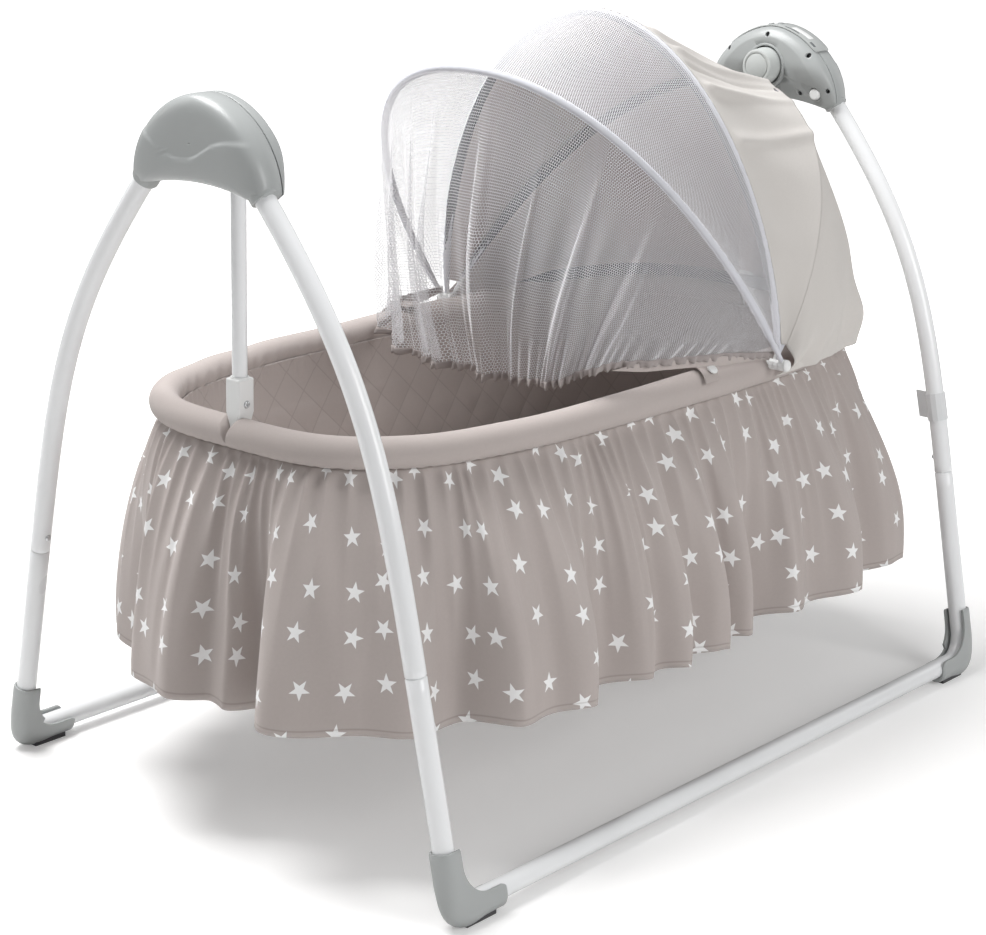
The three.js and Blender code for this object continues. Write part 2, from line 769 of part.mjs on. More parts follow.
function driveLever() {
  const radiusAt = (angle) => {
    const down = (1 - Math.sin(angle)) / 2;
    return THREE.MathUtils.lerp(lever.hubRadius, lever.drop + lever.magnetRadius, down ** lever.taperPower);
  };
  const steps = axle.sides * 2;
  const outline = Array.from({ length: steps }, (_, i) => {
    const angle = (i / steps) * 2 * Math.PI;
    const r = radiusAt(angle);
    return new THREE.Vector2(r * Math.cos(angle), swingHeight + r * Math.sin(angle));
  });
  const hole = { y: 0, z: swingHeight, radius: axle.radius + clearance };
  return plate(outline, leverX, lever.thickness, [hole]);
}

function driveCoil() {
  const startX = leverX + lever.thickness + coil.gap;
  const endX = startX + coil.length;
  const centre = point(0, 0, swingHeight - lever.drop);
  const profile = [
    [startX, coil.innerRadius],
    [startX, coil.outerRadius],
    [endX, coil.outerRadius],
    [endX, coil.innerRadius],
    [startX, coil.innerRadius],
  ];
  return turnedAboutX(profile, centre, coil.sides);
}

function circuitBoard() {
  const half = board.thickness / 2;
  return box(
    point(boardX - half, -board.width / 2, boardHeight - board.height / 2),
    point(boardX + half, board.width / 2, boardHeight + board.height / 2),
  );
}

function speakerUnit() {
  const at = (x) => point(x, speaker.spread, swingHeight - speaker.belowAxis);
  const rearX = outerFaceX - speaker.behindFace;
  return bar(at(rearX - speaker.depth), at(rearX), speaker.radius, speaker.sides);
}

function powerInlet() {
  const body = bar(inletAt(outerFaceX - inlet.length), inletAt(outerFaceX), inlet.radius, inlet.sides);
  const socketEnd = inletAt(outerFaceX - inlet.socketDepth);
  return cut(body, bar(socketEnd, inletAt(outerFaceX + overrun), inlet.socketRadius, inlet.sides));
}

// A place on the dome at an angle from the front corner, raised off it by a distance.
function domePoint(angle, x, raised) {
  const turn = THREE.MathUtils.degToRad(angle);
  const power = 2 / domeSquareness;
  const across = -Math.sign(Math.cos(turn)) * Math.abs(Math.cos(turn)) ** power;
  const up = Math.sin(turn) ** power;
  const slope = point(
    0,
    (Math.sign(across) * Math.abs(across) ** (domeSquareness - 1)) / head.halfWidth,
    up ** (domeSquareness - 1) / head.domeHeight,
  ).normalize();
  const at = point(x, head.halfWidth * across, springHeight + head.domeHeight * up);
  return at.addScaledVector(slope, raised);
}

const panelBottom = 2 * clearance;
const panelTop = panelBottom + panel.thickness;

function controlPanel() {
  const fromX = seamX - panel.innerReach;
  const toX = seamX + panel.outerReach;
  const rings = Array.from({ length: panel.steps + 1 }, (_, i) => {
    const angle = THREE.MathUtils.lerp(panel.fromAngle, panel.toAngle, i / panel.steps);
    return [
      domePoint(angle, fromX, panelBottom),
      domePoint(angle, toX, panelBottom),
      domePoint(angle, toX, panelTop),
      domePoint(angle, fromX, panelTop),
    ];
  });
  return loft(rings);
}

function panelButtonBar(angle, radius, bottom, top) {
  const x = seamX + (panel.outerReach - panel.innerReach) / 2;
  const low = domePoint(angle, x, bottom);
  const high = domePoint(angle, x, top);
  return pipe([{ at: low, radius }, { at: high, radius }], axisX, panelButton.sides);
}

const panelHoles = panelButtons.map(({ angle, radius }) =>
  panelButtonBar(angle, radius + clearance, -overrun, panelTop + overrun),
);
const motorOuter = cradle.getObjectByName("motor_outer_shell");
motorOuter.geometry = cut(motorOuter.geometry, ...panelHoles);
addPiece("control_panel", cut(controlPanel(), ...panelHoles), finish.whitePlastic);
for (const { name, angle, radius } of panelButtons) {
  const foot = panelTop - panelButton.depth;
  addPiece(name, panelButtonBar(angle, radius, foot, panelTop + panelButton.proud), finish.greyPlastic);
}
addPiece("drive_lever", driveLever(), finish.steel);
addPiece("drive_coil", driveCoil(), finish.copper);
addPiece("circuit_board", circuitBoard(), finish.boardGreen);
addPiece("speaker", speakerUnit(), finish.darkRubber);
addPiece("power_inlet", powerInlet(), finish.darkRubber);

// Basket: evenly spaced places on the rim's oval, each with its outward direction
class Oval extends THREE.Curve {
  getPoint(t) {
    const angle = t * 2 * Math.PI;
    const power = 2 / rimSquareness;
    const part = (value) => Math.sign(value) * Math.abs(value) ** power;
    return point(rimLength * part(Math.cos(angle)), rimWidth * part(Math.sin(angle)), rimHeight);
  }
}

function ovalOutward(p) {
  const slope = (value, half) => (Math.sign(value) * Math.abs(value / half) ** (rimSquareness - 1)) / half;
  return point(slope(p.x, rimLength), slope(p.y, rimWidth), 0).normalize();
}

function ovalStations(steps) {
  const oval = new Oval();
  oval.arcLengthDivisions = rim.divisions;
  return oval
    .getSpacedPoints(steps)
    .slice(0, steps)
    .map((at) => ({ at, outward: ovalOutward(at) }));
}

// A place beside the rim: an outward offset and a height.
function beside({ at, outward }, offset, height) {
  return at.clone().addScaledVector(outward, offset).setZ(height);
}

function rimTube() {
  const start = THREE.MathUtils.degToRad(padding.slitAngle);
  const section = Array.from({ length: rim.sides }, (_, i) => start + (i / rim.sides) * 2 * Math.PI);
  const round = (station) => (angle) =>
    beside(station, rim.radius * Math.cos(angle), rimHeight + rim.radius * Math.sin(angle));
  const rings = ovalStations(rim.steps).map((station) => section.map(round(station)));
  return loft(rings, true);
}

function paddingRadius(x) {
  const underHood = THREE.MathUtils.smoothstep(x, padding.swellFrom, padding.swellTo);
  return padding.radius + padding.hoodSwell * underHood;
}

const halfSlit = padding.slitWidth / 2 / (rim.radius + clearance);

// Padded cover: a thick C round the rim tube, open along a slit under the inner side.
function rimCover() {
  const open = THREE.MathUtils.degToRad(padding.slitAngle);
  const inner = rim.radius + clearance;
  const arc = (count) =>
    Array.from({ length: count + 1 }, (_, i) =>
      THREE.MathUtils.clamp((i / count) * 2 * Math.PI, halfSlit, 2 * Math.PI - halfSlit) + open,
    );
  const rings = ovalStations(rim.steps).map((station) => {
    const outer = paddingRadius(station.at.x);
    const outerSkin = arc(padding.sides).map((angle) =>
      beside(station, padding.offset + outer * Math.cos(angle), rimHeight + outer * Math.sin(angle)),
    );
    const innerSkin = arc(rim.sides).map((angle) =>
      beside(station, inner * Math.cos(angle), rimHeight + inner * Math.sin(angle)),
    );
    return [...outerSkin, ...innerSkin.reverse()];
  });
  const pinHole = bar(pivotPoint(pivotInside), pivotPoint(capFaceY), rod.pinRadius + clearance, cap.sides);
  return cut(loft(rings, true), ...bracketNotches(), pinHole, mirrored(pinHole, 1, -1));
}

function bracketNotches() {
  const notch = bracketBlock(bracket.notchGap, overrun);
  return [notch, mirrored(notch, -1, 1)];
}

const bracketTop = rimHeight + bracket.topAbove;

// Bracket that carries the rim: a column with a pointed foot, grown by a margin for its notch.
function bracketBlock(margin, extraDepth) {
  const w = bracket.width / 2 + margin;
  const shoulder = rimHeight + bracket.shoulderAbove;
  const outline = [
    new THREE.Vector2(-w, bracketTop + margin),
    new THREE.Vector2(-w, shoulder - margin),
    new THREE.Vector2(0, rimHeight - bracket.tipBelow - 2 * margin),
    new THREE.Vector2(w, shoulder - margin),
    new THREE.Vector2(w, bracketTop + margin),
  ];
  const depth = bracket.depth + 2 * extraDepth;
  return plate(outline, hangerX - depth / 2, depth, []);
}

const hangerSeat = rimHeight + hanger.seatAbove;

function rimBracket() {
  const socket = bar(
    point(hangerX, 0, hangerSeat),
    point(hangerX, 0, bracketTop + overrun),
    hanger.radius + clearance,
    hanger.sides,
  );
  const tubeHole = bar(
    point(rimLength, -bracket.width, rimHeight),
    point(rimLength, bracket.width, rimHeight),
    rim.radius + clearance,
    hanger.sides,
  );
  return cut(bracketBlock(0, 0), socket, tubeHole);
}

function hangerTube() {
  const top = swingHeight - hub.radius + hanger.socketDepth - clearance;
  return bar(point(hangerX, 0, hangerSeat + clearance), point(hangerX, 0, top), hanger.radius, hanger.sides);
}

// A place on the tub's top seam, against the slit's upper edge.
function seamPoint(station, inset) {
  const edge = THREE.MathUtils.degToRad(padding.slitAngle) - halfSlit;
  const reach = paddingRadius(station.at.x);
  const offset = padding.offset + reach * Math.cos(edge) - clearance - inset;
  return beside(station, offset, rimHeight + reach * Math.sin(edge) + 2 * clearance);
}

const tubMiddle = rimHeight - tub.middleBelow;
const tubFloor = rimHeight - tub.floorBelow + tub.wall;

// Cloth basket: an open tub with a flat floor, hung inside the rim.
function basketTub() {
  const stations = ovalStations(rim.steps);
  const ring = (offset, height) => stations.map((station) => beside(station, offset, height));
  const topRing = (inset) => stations.map((station) => seamPoint(station, inset));
  const body = loft([
    ring(-tub.floorInset - tub.wall, tubFloor),
    ring(-tub.middleInset - tub.wall, tubMiddle),
    topRing(tub.wall),
    topRing(0),
    ring(-tub.middleInset, tubMiddle),
    ring(-tub.floorInset, tubFloor - tub.wall),
  ]);
  return cut(body, ...bracketNotches());
}

// How far the tub's inner wall stands from the rim line at a height above its floor.
function tubInside(height) {
  const share = (height - tubFloor) / (tubMiddle - tubFloor);
  return -THREE.MathUtils.lerp(tub.floorInset, tub.middleInset, share) - tub.wall;
}

function baseBoard() {
  const stations = ovalStations(rim.steps);
  const offset = -tub.floorInset - tub.wall - boardSheet.inset;
  const low = tubFloor + clearance;
  const ring = (height) => stations.map((station) => beside(station, offset, height));
  return loft([ring(low), ring(low + boardSheet.thickness)]);
}

function mattressPad() {
  const stations = ovalStations(rim.steps);
  const low = tubFloor + boardSheet.thickness + 2 * clearance;
  const top = low + mattress.height;
  const side = (height) => tubInside(height) - mattress.inset;
  const rings = [
    [side(low) - mattress.edgeRound, low],
    [side(low), low + mattress.edgeRound],
    [side(low + mattress.edgeRound), top - mattress.edgeRound],
    [side(low) - mattress.edgeRound, top],
  ].map(([offset, height]) => stations.map((s) => beside(s, offset, height)));
  const shrink = point(mattress.crownShare, mattress.crownShare, 1);
  const crown = rings[rings.length - 1].map((p) => p.clone().multiply(shrink).setZ(top + mattress.crown));
  return loft([...rings, crown]);
}

// Gathered skirt: hangs from under the padded rim and flares in soft folds that deepen to the hem.
function starSkirt() {
  const stations = ovalStations(skirt.folds * skirt.foldSteps);
  const ring = (drop, flare, inset) =>
    stations.map((station, i) => {
      const turn = (i / skirt.foldSteps) * 2 * Math.PI;
      const uneven = 1 + skirt.unevenShare * Math.sin(turn / skirt.unevenFolds);
      const fold = skirt.foldDepth * drop * uneven * Math.cos(turn);
      const offset = THREE.MathUtils.lerp(skirt.topOffset, skirt.hemOffset, flare) + fold - inset;
      const coverDepth = paddingRadius(station.at.x) * Math.cos(Math.PI / padding.sides);
      const below = THREE.MathUtils.lerp(coverDepth + 2 * clearance, skirt.hemBelow, drop);
      return beside(station, offset, rimHeight - below);
    });
  const outerSkin = skirt.flareShares.map(([drop, flare]) => ring(drop, flare, 0));
  const innerSkin = skirt.flareShares.map(([drop, flare]) => ring(drop, flare, skirt.thickness));
  return loft([...outerSkin, ...innerSkin.reverse()], true);
}

// Bows: a place on a bow from its front pivot (0) over its crown to its back pivot (1)
const pivotInside = rimWidth - rim.radius;
const stackedBowsY = bowSpread(bows.net_bow) + rod.radius + clearance;
const capFaceY = stackedBowsY + cap.thickness;

function pivotPoint(y) {
  return point(pivotX, y, pivotHeight);
}

function bowSpread(bow) {
  return rimWidth + bow.outside;
}

function bowPlane(bow) {
  const tilt = THREE.MathUtils.degToRad(bow.tilt);
  return {
    up: point(-Math.sin(tilt), 0, Math.cos(tilt)),
    forward: point(-Math.cos(tilt), 0, -Math.sin(tilt)),
  };
}

function bowPoint(bow, share) {
  const angle = share * Math.PI;
  const power = 2 / bow.squareness;
  const across = -Math.sign(Math.cos(angle)) * Math.abs(Math.cos(angle)) ** power;
  const up = Math.abs(Math.sin(angle)) ** power;
  return pivotPoint(bowSpread(bow) * across).addScaledVector(bowPlane(bow).up, bow.height * up);
}

// Outward direction in the bow's own plane.
function bowOutward(bow, share) {
  const before = bowPoint(bow, Math.max(share - rod.stepShare, 0));
  const after = bowPoint(bow, Math.min(share + rod.stepShare, 1));
  return after.sub(before).cross(bowPlane(bow).forward).normalize();
}

function bowRod(bow) {
  const shares = Array.from({ length: rod.steps + 1 }, (_, i) => i / rod.steps);
  const stations = shares.map((share) => ({ at: bowPoint(bow, share), radius: rod.radius }));
  const arch = pipe(stations, bowPlane(bow).forward, rod.sides);
  const eyes = [-1, 1].map((signY) => {
    const inside = pivotPoint(signY * (bowSpread(bow) - rod.radius));
    return bar(inside, pivotPoint(signY * (bowSpread(bow) + rod.radius)), rod.eyeRadius, rod.eyeSides);
  });
  const holes = [-1, 1].map((signY) =>
    bar(pivotPoint(0), pivotPoint(signY * capFaceY), rod.pinRadius + clearance, cap.sides),
  );
  return cut(join(arch, ...eyes), ...holes);
}

function pivotCap() {
  const disc = bar(pivotPoint(stackedBowsY), pivotPoint(capFaceY), cap.radius, cap.sides);
  const pinEnd = pivotPoint(capFaceY - cap.thickness / 2);
  return join(disc, bar(pivotPoint(rimWidth + cap.pinReach), pinEnd, rod.pinRadius, cap.sides));
}

// Cloth leaves a bow at its first joint above the pivot.
const clothStart = 1 / rod.steps;

// A ring of cloth: its outer skin from front to back, then its inner skin back to the front.
function clothRing(place) {
  const shares = Array.from({ length: rod.steps - 1 }, (_, i) => (i + 1) / rod.steps);
  const outerSkin = shares.map((share) => place(share, cloth.thickness));
  const innerSkin = shares.map((share) => place(share, 0)).reverse();
  return [...outerSkin, ...innerSkin];
}

const rodReach = rod.radius + cloth.rodGap;

// A ring that passes over a bow, shifted along the bow's own axis of travel.
function overBow(bow, shift) {
  return clothRing((share, raised) =>
    bowPoint(bow, share)
      .addScaledVector(bowOutward(bow, share), rodReach + raised)
      .addScaledVector(bowPlane(bow).forward, shift),
  );
}

function between(ringA, ringB, share) {
  return ringA.map((p, i) => p.clone().lerp(ringB[i], share));
}

function hoodPanel() {
  const front = overBow(bows.main_bow, 0);
  const rear = overBow(bows.rear_bow, 0);
  return loft(hoodShares.map((share) => between(front, rear, share)));
}

// Drape from the rear bow over the rim's motor end, slit for the hanger.
function rearDrape() {
  const top = overBow(bows.rear_bow, -cloth.edgeGap);
  const firstX = pivotX + clothStart * rimLength;
  const turnOf = ({ at }) => Math.atan2(at.y, at.x);
  const route = ovalStations(rim.steps * drape.finerSteps)
    .filter(({ at }) => at.x > firstX)
    .sort((a, b) => turnOf(a) - turnOf(b));
  const hemHeight = rimHeight - drape.hemBelow;
  const hem = clothRing((share, raised) => {
    const place = ((share - clothStart) / (1 - 2 * clothStart)) * (route.length - 1);
    return beside(route[Math.round(place)], drape.hemOffset + raised, hemHeight);
  });
  const middle = between(top, hem, drape.middleShare).map((p) => {
    const outward = p.clone().sub(pivotPoint(0)).setZ(0).normalize();
    const bulge = drape.bulge * THREE.MathUtils.smoothstep(Math.abs(p.y), 0, drape.bulgeFrom);
    return p.clone().addScaledVector(outward, bulge);
  });
  const slit = box(
    point(hangerX - drape.slitDepth, -drape.slitHalfWidth, hemHeight - overrun),
    point(rimLength + 2 * drape.hemOffset, drape.slitHalfWidth, rimHeight + drape.slitAbove),
  );
  return cut(loft([top, middle, hem]), slit);
}

// A place on the net's lower edge, straight along the rim and curved across the basket.
function netEdge(share) {
  const at = ({ ahead, outside, above }, signY) =>
    point(pivotX - ahead, signY * (rimWidth + outside), rimHeight + above);
  const middle = point(pivotX - net.middle.ahead, 0, rimHeight + net.middle.above);
  const span = (from, to) => (share - from) / (to - from);
  const { cornerShare } = net;
  const half = 1 / 2;
  if (share < cornerShare) return at(net.side, -1).lerp(at(net.front, -1), span(clothStart, cornerShare));
  if (share < half) return at(net.front, -1).lerp(middle, Math.sin((span(cornerShare, half) * Math.PI) / 2));
  if (share < 1 - cornerShare)
    return middle.lerp(at(net.back, 1), 1 - Math.cos((span(half, 1 - cornerShare) * Math.PI) / 2));
  return at(net.back, 1).lerp(at(net.side, 1), span(1 - cornerShare, 1 - clothStart));
}

// Net: a panel from the main bow to the net bow and a folded curtain down to the rim and across it.
function mosquitoNet() {
  const start = overBow(bows.main_bow, cloth.edgeGap);
  const overNet = overBow(bows.net_bow, 0);
  const { forward } = bowPlane(bows.net_bow);
  const inFront = clothRing((share, raised) =>
    bowPoint(bows.net_bow, share)
      .addScaledVector(bowOutward(bows.net_bow, share), rodReach / 2)
      .addScaledVector(forward, rodReach + raised),
  );
  const hem = clothRing((share, raised) => {
    const at = netEdge(share);
    const outward = at.clone().sub(pivotPoint(0)).setZ(0).normalize();
    const fold = net.foldDepth * Math.sin(share * Math.PI) * Math.cos(share * net.folds * 2 * Math.PI);
    return at.addScaledVector(outward, raised + fold);
  });
  const curtain = net.curtainShares.map((share) => between(inFront, hem, share));
  return loft([start, between(start, overNet, 1 / 2), overNet, ...curtain]);
}

for (const end of ends) {
  addPiece(`${end.name}_hanger_tube`, mirrored(hangerTube(), end.x, 1), finish.whitePaint);
  addPiece(`${end.name}_rim_bracket`, mirrored(rimBracket(), end.x, 1), finish.whitePlastic);
}
addPiece("rim_tube", rimTube(), finish.steel);
addPiece("rim_cover", rimCover(), finish.taupeCloth);
addPiece("basket_tub", basketTub(), finish.taupeCloth);
addPiece("base_board", baseBoard(), finish.boardWood);
addPiece("mattress", mattressPad(), finish.taupeCloth);
addPiece("star_skirt", starSkirt(), finish.taupeCloth);
for (const side of sides)
  addPiece(`pivot_cap_${side.name}`, mirrored(pivotCap(), 1, side.y), finish.whitePlastic);
for (const [name, bow] of Object.entries(bows)) addPiece(name, bowRod(bow), finish.whitePlastic);
addPiece("hood_panel", hoodPanel(), finish.paleCloth);
addPiece("rear_drape", rearDrape(), finish.paleCloth);
addPiece("mosquito_net", mosquitoNet(), finish.netCloth);

export default cradle;
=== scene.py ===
import math

import bpy
import numpy as np
from mathutils import Matrix, Vector


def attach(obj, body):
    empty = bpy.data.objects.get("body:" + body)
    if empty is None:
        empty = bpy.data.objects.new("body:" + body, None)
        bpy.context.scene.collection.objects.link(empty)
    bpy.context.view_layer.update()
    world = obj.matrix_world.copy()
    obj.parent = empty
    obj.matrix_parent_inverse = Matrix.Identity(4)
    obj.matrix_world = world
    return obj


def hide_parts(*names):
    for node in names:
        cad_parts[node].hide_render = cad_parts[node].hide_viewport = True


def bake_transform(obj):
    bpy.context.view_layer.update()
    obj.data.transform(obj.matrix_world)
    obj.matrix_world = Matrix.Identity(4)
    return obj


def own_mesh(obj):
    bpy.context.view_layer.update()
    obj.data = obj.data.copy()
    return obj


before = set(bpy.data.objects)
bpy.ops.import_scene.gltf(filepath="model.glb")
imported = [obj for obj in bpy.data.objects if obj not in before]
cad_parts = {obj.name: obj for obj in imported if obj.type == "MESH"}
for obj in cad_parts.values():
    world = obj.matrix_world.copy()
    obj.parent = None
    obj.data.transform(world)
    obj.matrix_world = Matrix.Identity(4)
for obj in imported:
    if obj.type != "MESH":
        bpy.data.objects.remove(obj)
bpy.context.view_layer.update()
scene = bpy.context.scene

# Camera: a product shot from the front left, a little above the basket.
# Its place and lens are the ones that make the stand's tubes fall where the photograph has them.
CAMERA_PLACE = (-2.102, -1.717, 1.087)
CAMERA_YAW = math.radians(41.454)
CAMERA_PITCH = math.radians(16.28)
CAMERA_ROLL = math.radians(0.925)
CAMERA_LENS = 87.44
CAMERA_SHIFT = (0.0615, 0.00524)

camera_data = bpy.data.cameras.new("photo_camera")
camera_data.sensor_width = 36
camera_data.lens = CAMERA_LENS
camera_data.shift_x, camera_data.shift_y = CAMERA_SHIFT
camera_data.clip_end = 200
camera = bpy.data.objects.new("photo_camera", camera_data)
scene.collection.objects.link(camera)
forward = Vector((math.cos(CAMERA_PITCH) * math.cos(CAMERA_YAW),
    math.cos(CAMERA_PITCH) * math.sin(CAMERA_YAW), -math.sin(CAMERA_PITCH)))
level_right = Vector((math.sin(CAMERA_YAW), -math.cos(CAMERA_YAW), 0))
level_up = level_right.cross(forward)
right = level_right * math.cos(CAMERA_ROLL) + level_up * math.sin(CAMERA_ROLL)
up = level_up * math.cos(CAMERA_ROLL) - level_right * math.sin(CAMERA_ROLL)
turn_to_view = Matrix((right, up, -forward)).transposed().to_4x4()
camera.matrix_world = Matrix.Translation(CAMERA_PLACE) @ turn_to_view
scene.camera = camera

# Light: a white studio, with a broad softbox overhead, a large one at the front left and a white surround.
# The lamps are level with the pale cloth, which must not clip.
SOFTBOXES = {
    "overhead_softbox": {"place": (-0.55, 0.85, 2.8), "size": (1.8, 1.6), "watts": 104},
    "front_softbox": {"place": (0.15, -3.2, 1.7), "size": (1.8, 1.6), "watts": 46},
    "right_softbox": {"place": (3.0, -0.9, 1.3), "size": (1.2, 1.6), "watts": 8},
    "left_softbox": {"place": (-1.6, 2.4, 1.8), "size": (1.2, 1.6), "watts": 10},
}
LIGHT_TARGET = Vector((0, 0, 0.5))
SURROUND_STRENGTH = 0.26


def material(name):
    """An empty node material, its tree and the places on its object."""
    made = bpy.data.materials.new(name)
    made.use_nodes = True
    made.node_tree.nodes.clear()
    return made, made.node_tree, node(made.node_tree, "TexCoord")


def node(tree, kind, settings=None, inputs=None):
    """Adds a shader node of a kind. Inputs are plain values, or (node, output) pairs to link from."""
    made = tree.nodes.new(kind if kind.startswith("Node") else "ShaderNode" + kind)
    for key, value in (settings or {}).items():
        setattr(made, key, value)
    for key, value in (inputs or {}).items():
        if isinstance(value, tuple) and len(value) == 2 and isinstance(value[0], bpy.types.Node):
            tree.links.new(value[0].outputs[value[1]], made.inputs[key])
        else:
            made.inputs[key].default_value = value
    return made


def math_node(tree, operation, *values):
    """A Math node with its inputs in order."""
    return node(tree, "Math", {"operation": operation}, dict(enumerate(values)))


for name, softbox in SOFTBOXES.items():
    lamp = bpy.data.lights.new(name, "AREA")
    lamp.shape = "RECTANGLE"
    lamp.size, lamp.size_y = softbox["size"]
    lamp.energy = softbox["watts"]
    holder = bpy.data.objects.new(name, lamp)
    holder.location = softbox["place"]
    aim = LIGHT_TARGET - Vector(softbox["place"])
    holder.rotation_euler = aim.to_track_quat("-Z", "Y").to_euler()
    scene.collection.objects.link(holder)

surround = bpy.data.worlds.new("white_surround")
surround.use_nodes = True
surround.node_tree.nodes.clear()
seen = node(surround.node_tree, "LightPath")
strength = node(surround.node_tree, "MapRange", inputs={"Value": (seen, "Is Camera Ray"),
    "To Min": SURROUND_STRENGTH, "To Max": 1.0})
white = node(surround.node_tree, "Background", inputs={"Color": (1, 1, 1, 1),
    "Strength": (strength, "Result")})
node(surround.node_tree, "OutputWorld", inputs={"Surface": (white, "Background")})
scene.world = surround
scene.view_settings.view_transform = "Standard"

# Floor: the white paper sweep of the studio. It keeps the soft shadow under the basket, and what the camera
# sees of it is lifted to white away from the shadow.
FLOOR_HALF = 60.0
FLOOR_LIFT = 0.23
LIFT_FROM = 0.75
LIFT_TO = 2.3


def mesh_object(name, points, faces):
    """A smooth-shaded mesh object at the origin, linked to the scene."""
    mesh = bpy.data.meshes.new(name)
    mesh.from_pydata(np.asarray(points, float).reshape(-1, 3).tolist(), [], faces)
    mesh.shade_smooth()
    piece = bpy.data.objects.new(name, mesh)
    scene.collection.objects.link(piece)
    return piece


def painted(piece, *finishes):
    """Gives a piece its materials; the first is on every face."""
    for finish in finishes:
        piece.data.materials.append(finish)
    return piece


def floor_material():
    made, tree, place = material("studio_paper")
    grain = node(tree, "TexNoise", inputs={"Vector": (place, "Object"), "Scale": 40.0, "Detail": 3.0})
    rough = node(tree, "MapRange", inputs={"Value": (grain, "Fac"), "To Min": 0.75, "To Max": 0.9})
    path = node(tree, "LightPath")
    direct = math_node(tree, "MAXIMUM", (path, "Is Camera Ray"), (path, "Is Transmission Ray"))
    away = node(tree, "VectorMath", {"operation": "LENGTH"}, {"Vector": (place, "Object")})
    rise = node(tree, "MapRange", {"interpolation_type": "SMOOTHSTEP"}, {"Value": (away, "Value"),
        "From Min": LIFT_FROM, "From Max": LIFT_TO, "To Min": FLOOR_LIFT, "To Max": 1.0})
    lift = math_node(tree, "MULTIPLY", (direct, "Value"), (rise, "Result"))
    paper = node(tree, "BsdfPrincipled", inputs={"Base Color": (0.86, 0.855, 0.85, 1),
        "Roughness": (rough, "Result"), "Specular IOR Level": 0.2, "Emission Color": (1, 1, 1, 1),
        "Emission Strength": (lift, "Value")})
    node(tree, "OutputMaterial", inputs={"Surface": (paper, "BSDF")})
    return made


floor_corners = [(x * FLOOR_HALF, y * FLOOR_HALF, 0) for x, y in ((-1, -1), (1, -1), (1, 1), (-1, 1))]
floor = mesh_object("studio_floor", floor_corners, [(0, 1, 2, 3)])
painted(floor, floor_material())

# Base tubes: steel tube of 22 mm, one length at the front and one at the back. Both ends are bent up to meet
# the legs. Powder coated in gloss white.
TUBE_RADIUS = 0.011
FOOT_X = 0.491
FOOT_Y = 0.330
BASE_HEIGHT = 0.020
BEND_RADIUS = 0.034
SEAM_HEIGHT = 0.253
LEG_LEAN = 0.0193
LEG_SPLAY = 0.21
SEAM_CHAMFER = 0.0012


def straight_leg_point(height):
    """The leg's centre line below the bend, in the +X +Y corner."""
    rise = height - BASE_HEIGHT
    return np.array((FOOT_X + LEG_LEAN * rise, FOOT_Y - LEG_SPLAY * rise, height))


def grid_object(name, points, loop_rows=False, loop_columns=False, caps=False, uv=None):
    """A mesh through a grid of points (rows, columns, 3), closed in either direction where asked.
    uv has a flat place for every point, with one more row or column where the grid closes."""
    rows, columns = points.shape[:2]
    row = np.arange(rows if loop_rows else rows - 1)[:, None]
    column = np.arange(columns if loop_columns else columns - 1)[None, :]
    row, column = np.broadcast_arrays(row, column)
    around = [(row, column), (row, column + 1), (row + 1, column + 1), (row + 1, column)]
    faces = np.stack([(r % rows) * columns + c % columns for r, c in around], -1).reshape(-1, 4).tolist()
    if caps:
        faces.append(list(range(columns))[::-1])
        faces.append(list(range((rows - 1) * columns, rows * columns)))
    piece = mesh_object(name, points, faces)
    if uv is not None:
        flat = np.stack([uv[r, c] for r, c in around], -2).reshape(-1, 2)
        layer = piece.data.uv_layers.new(name="cloth")
        corners = np.zeros((len(piece.data.loops), 2))
        corners[: len(flat)] = flat
        layer.data.foreach_set("uv", corners.ravel())
    return piece


def units(vectors):
    """An array of vectors, each made 1 long."""
    return vectors / np.linalg.norm(vectors, axis=-1, keepdims=True)


def full_turn(sides):
    return np.linspace(0, 2 * math.pi, sides, endpoint=False)


def tube(name, path, radius, normal, sides=32):
    """A round tube: at each point of the path, a circle of that radius across the direction of travel.
    normal is square to the plane that the path bends in."""
    path = np.asarray(path, float)
    travel = units(np.gradient(path, axis=0))
    across = units(np.cross(travel, normal))
    upward = np.cross(across, travel)
    angle = full_turn(sides)[None, :, None]
    reach = np.broadcast_to(radius, len(path))[:, None, None]
    points = path[:, None] + reach * (np.cos(angle) * across[:, None] + np.sin(angle) * upward[:, None])
    return outward(grid_object(name, points, loop_columns=True, caps=True))


def triples(items, field, kind=float):
    """A field of a mesh's parts that holds three numbers each, one row for every part."""
    values = np.zeros(len(items) * 3, kind)
    items.foreach_get(field, values)
    return values.reshape(-1, 3)


def outward(piece):
    """Turns the faces of a closed piece outwards, by the sign of its volume."""
    mesh = piece.data
    mesh.calc_loop_triangles()
    corner = triples(mesh.loop_triangles, "vertices", int)
    a, b, c = np.moveaxis(triples(mesh.vertices, "co")[corner], 1, 0)
    if np.einsum("ij,ij->i", a, np.cross(b, c)).sum() < 0:
        mesh.flip_normals()
    return piece


def unit(vector):
    return np.asarray(vector, float) / np.linalg.norm(vector)


def distance_along(route):
    """The distance walked to each point of a route."""
    return np.concatenate([[0], np.cumsum(np.linalg.norm(np.diff(route, axis=0), axis=1))])


foot_corner = straight_leg_point(BASE_HEIGHT)
up_the_leg = unit(straight_leg_point(SEAM_HEIGHT) - foot_corner)
along_the_bar = np.array((-1.0, 0, 0))
foot_normal = unit(np.cross(along_the_bar, up_the_leg))


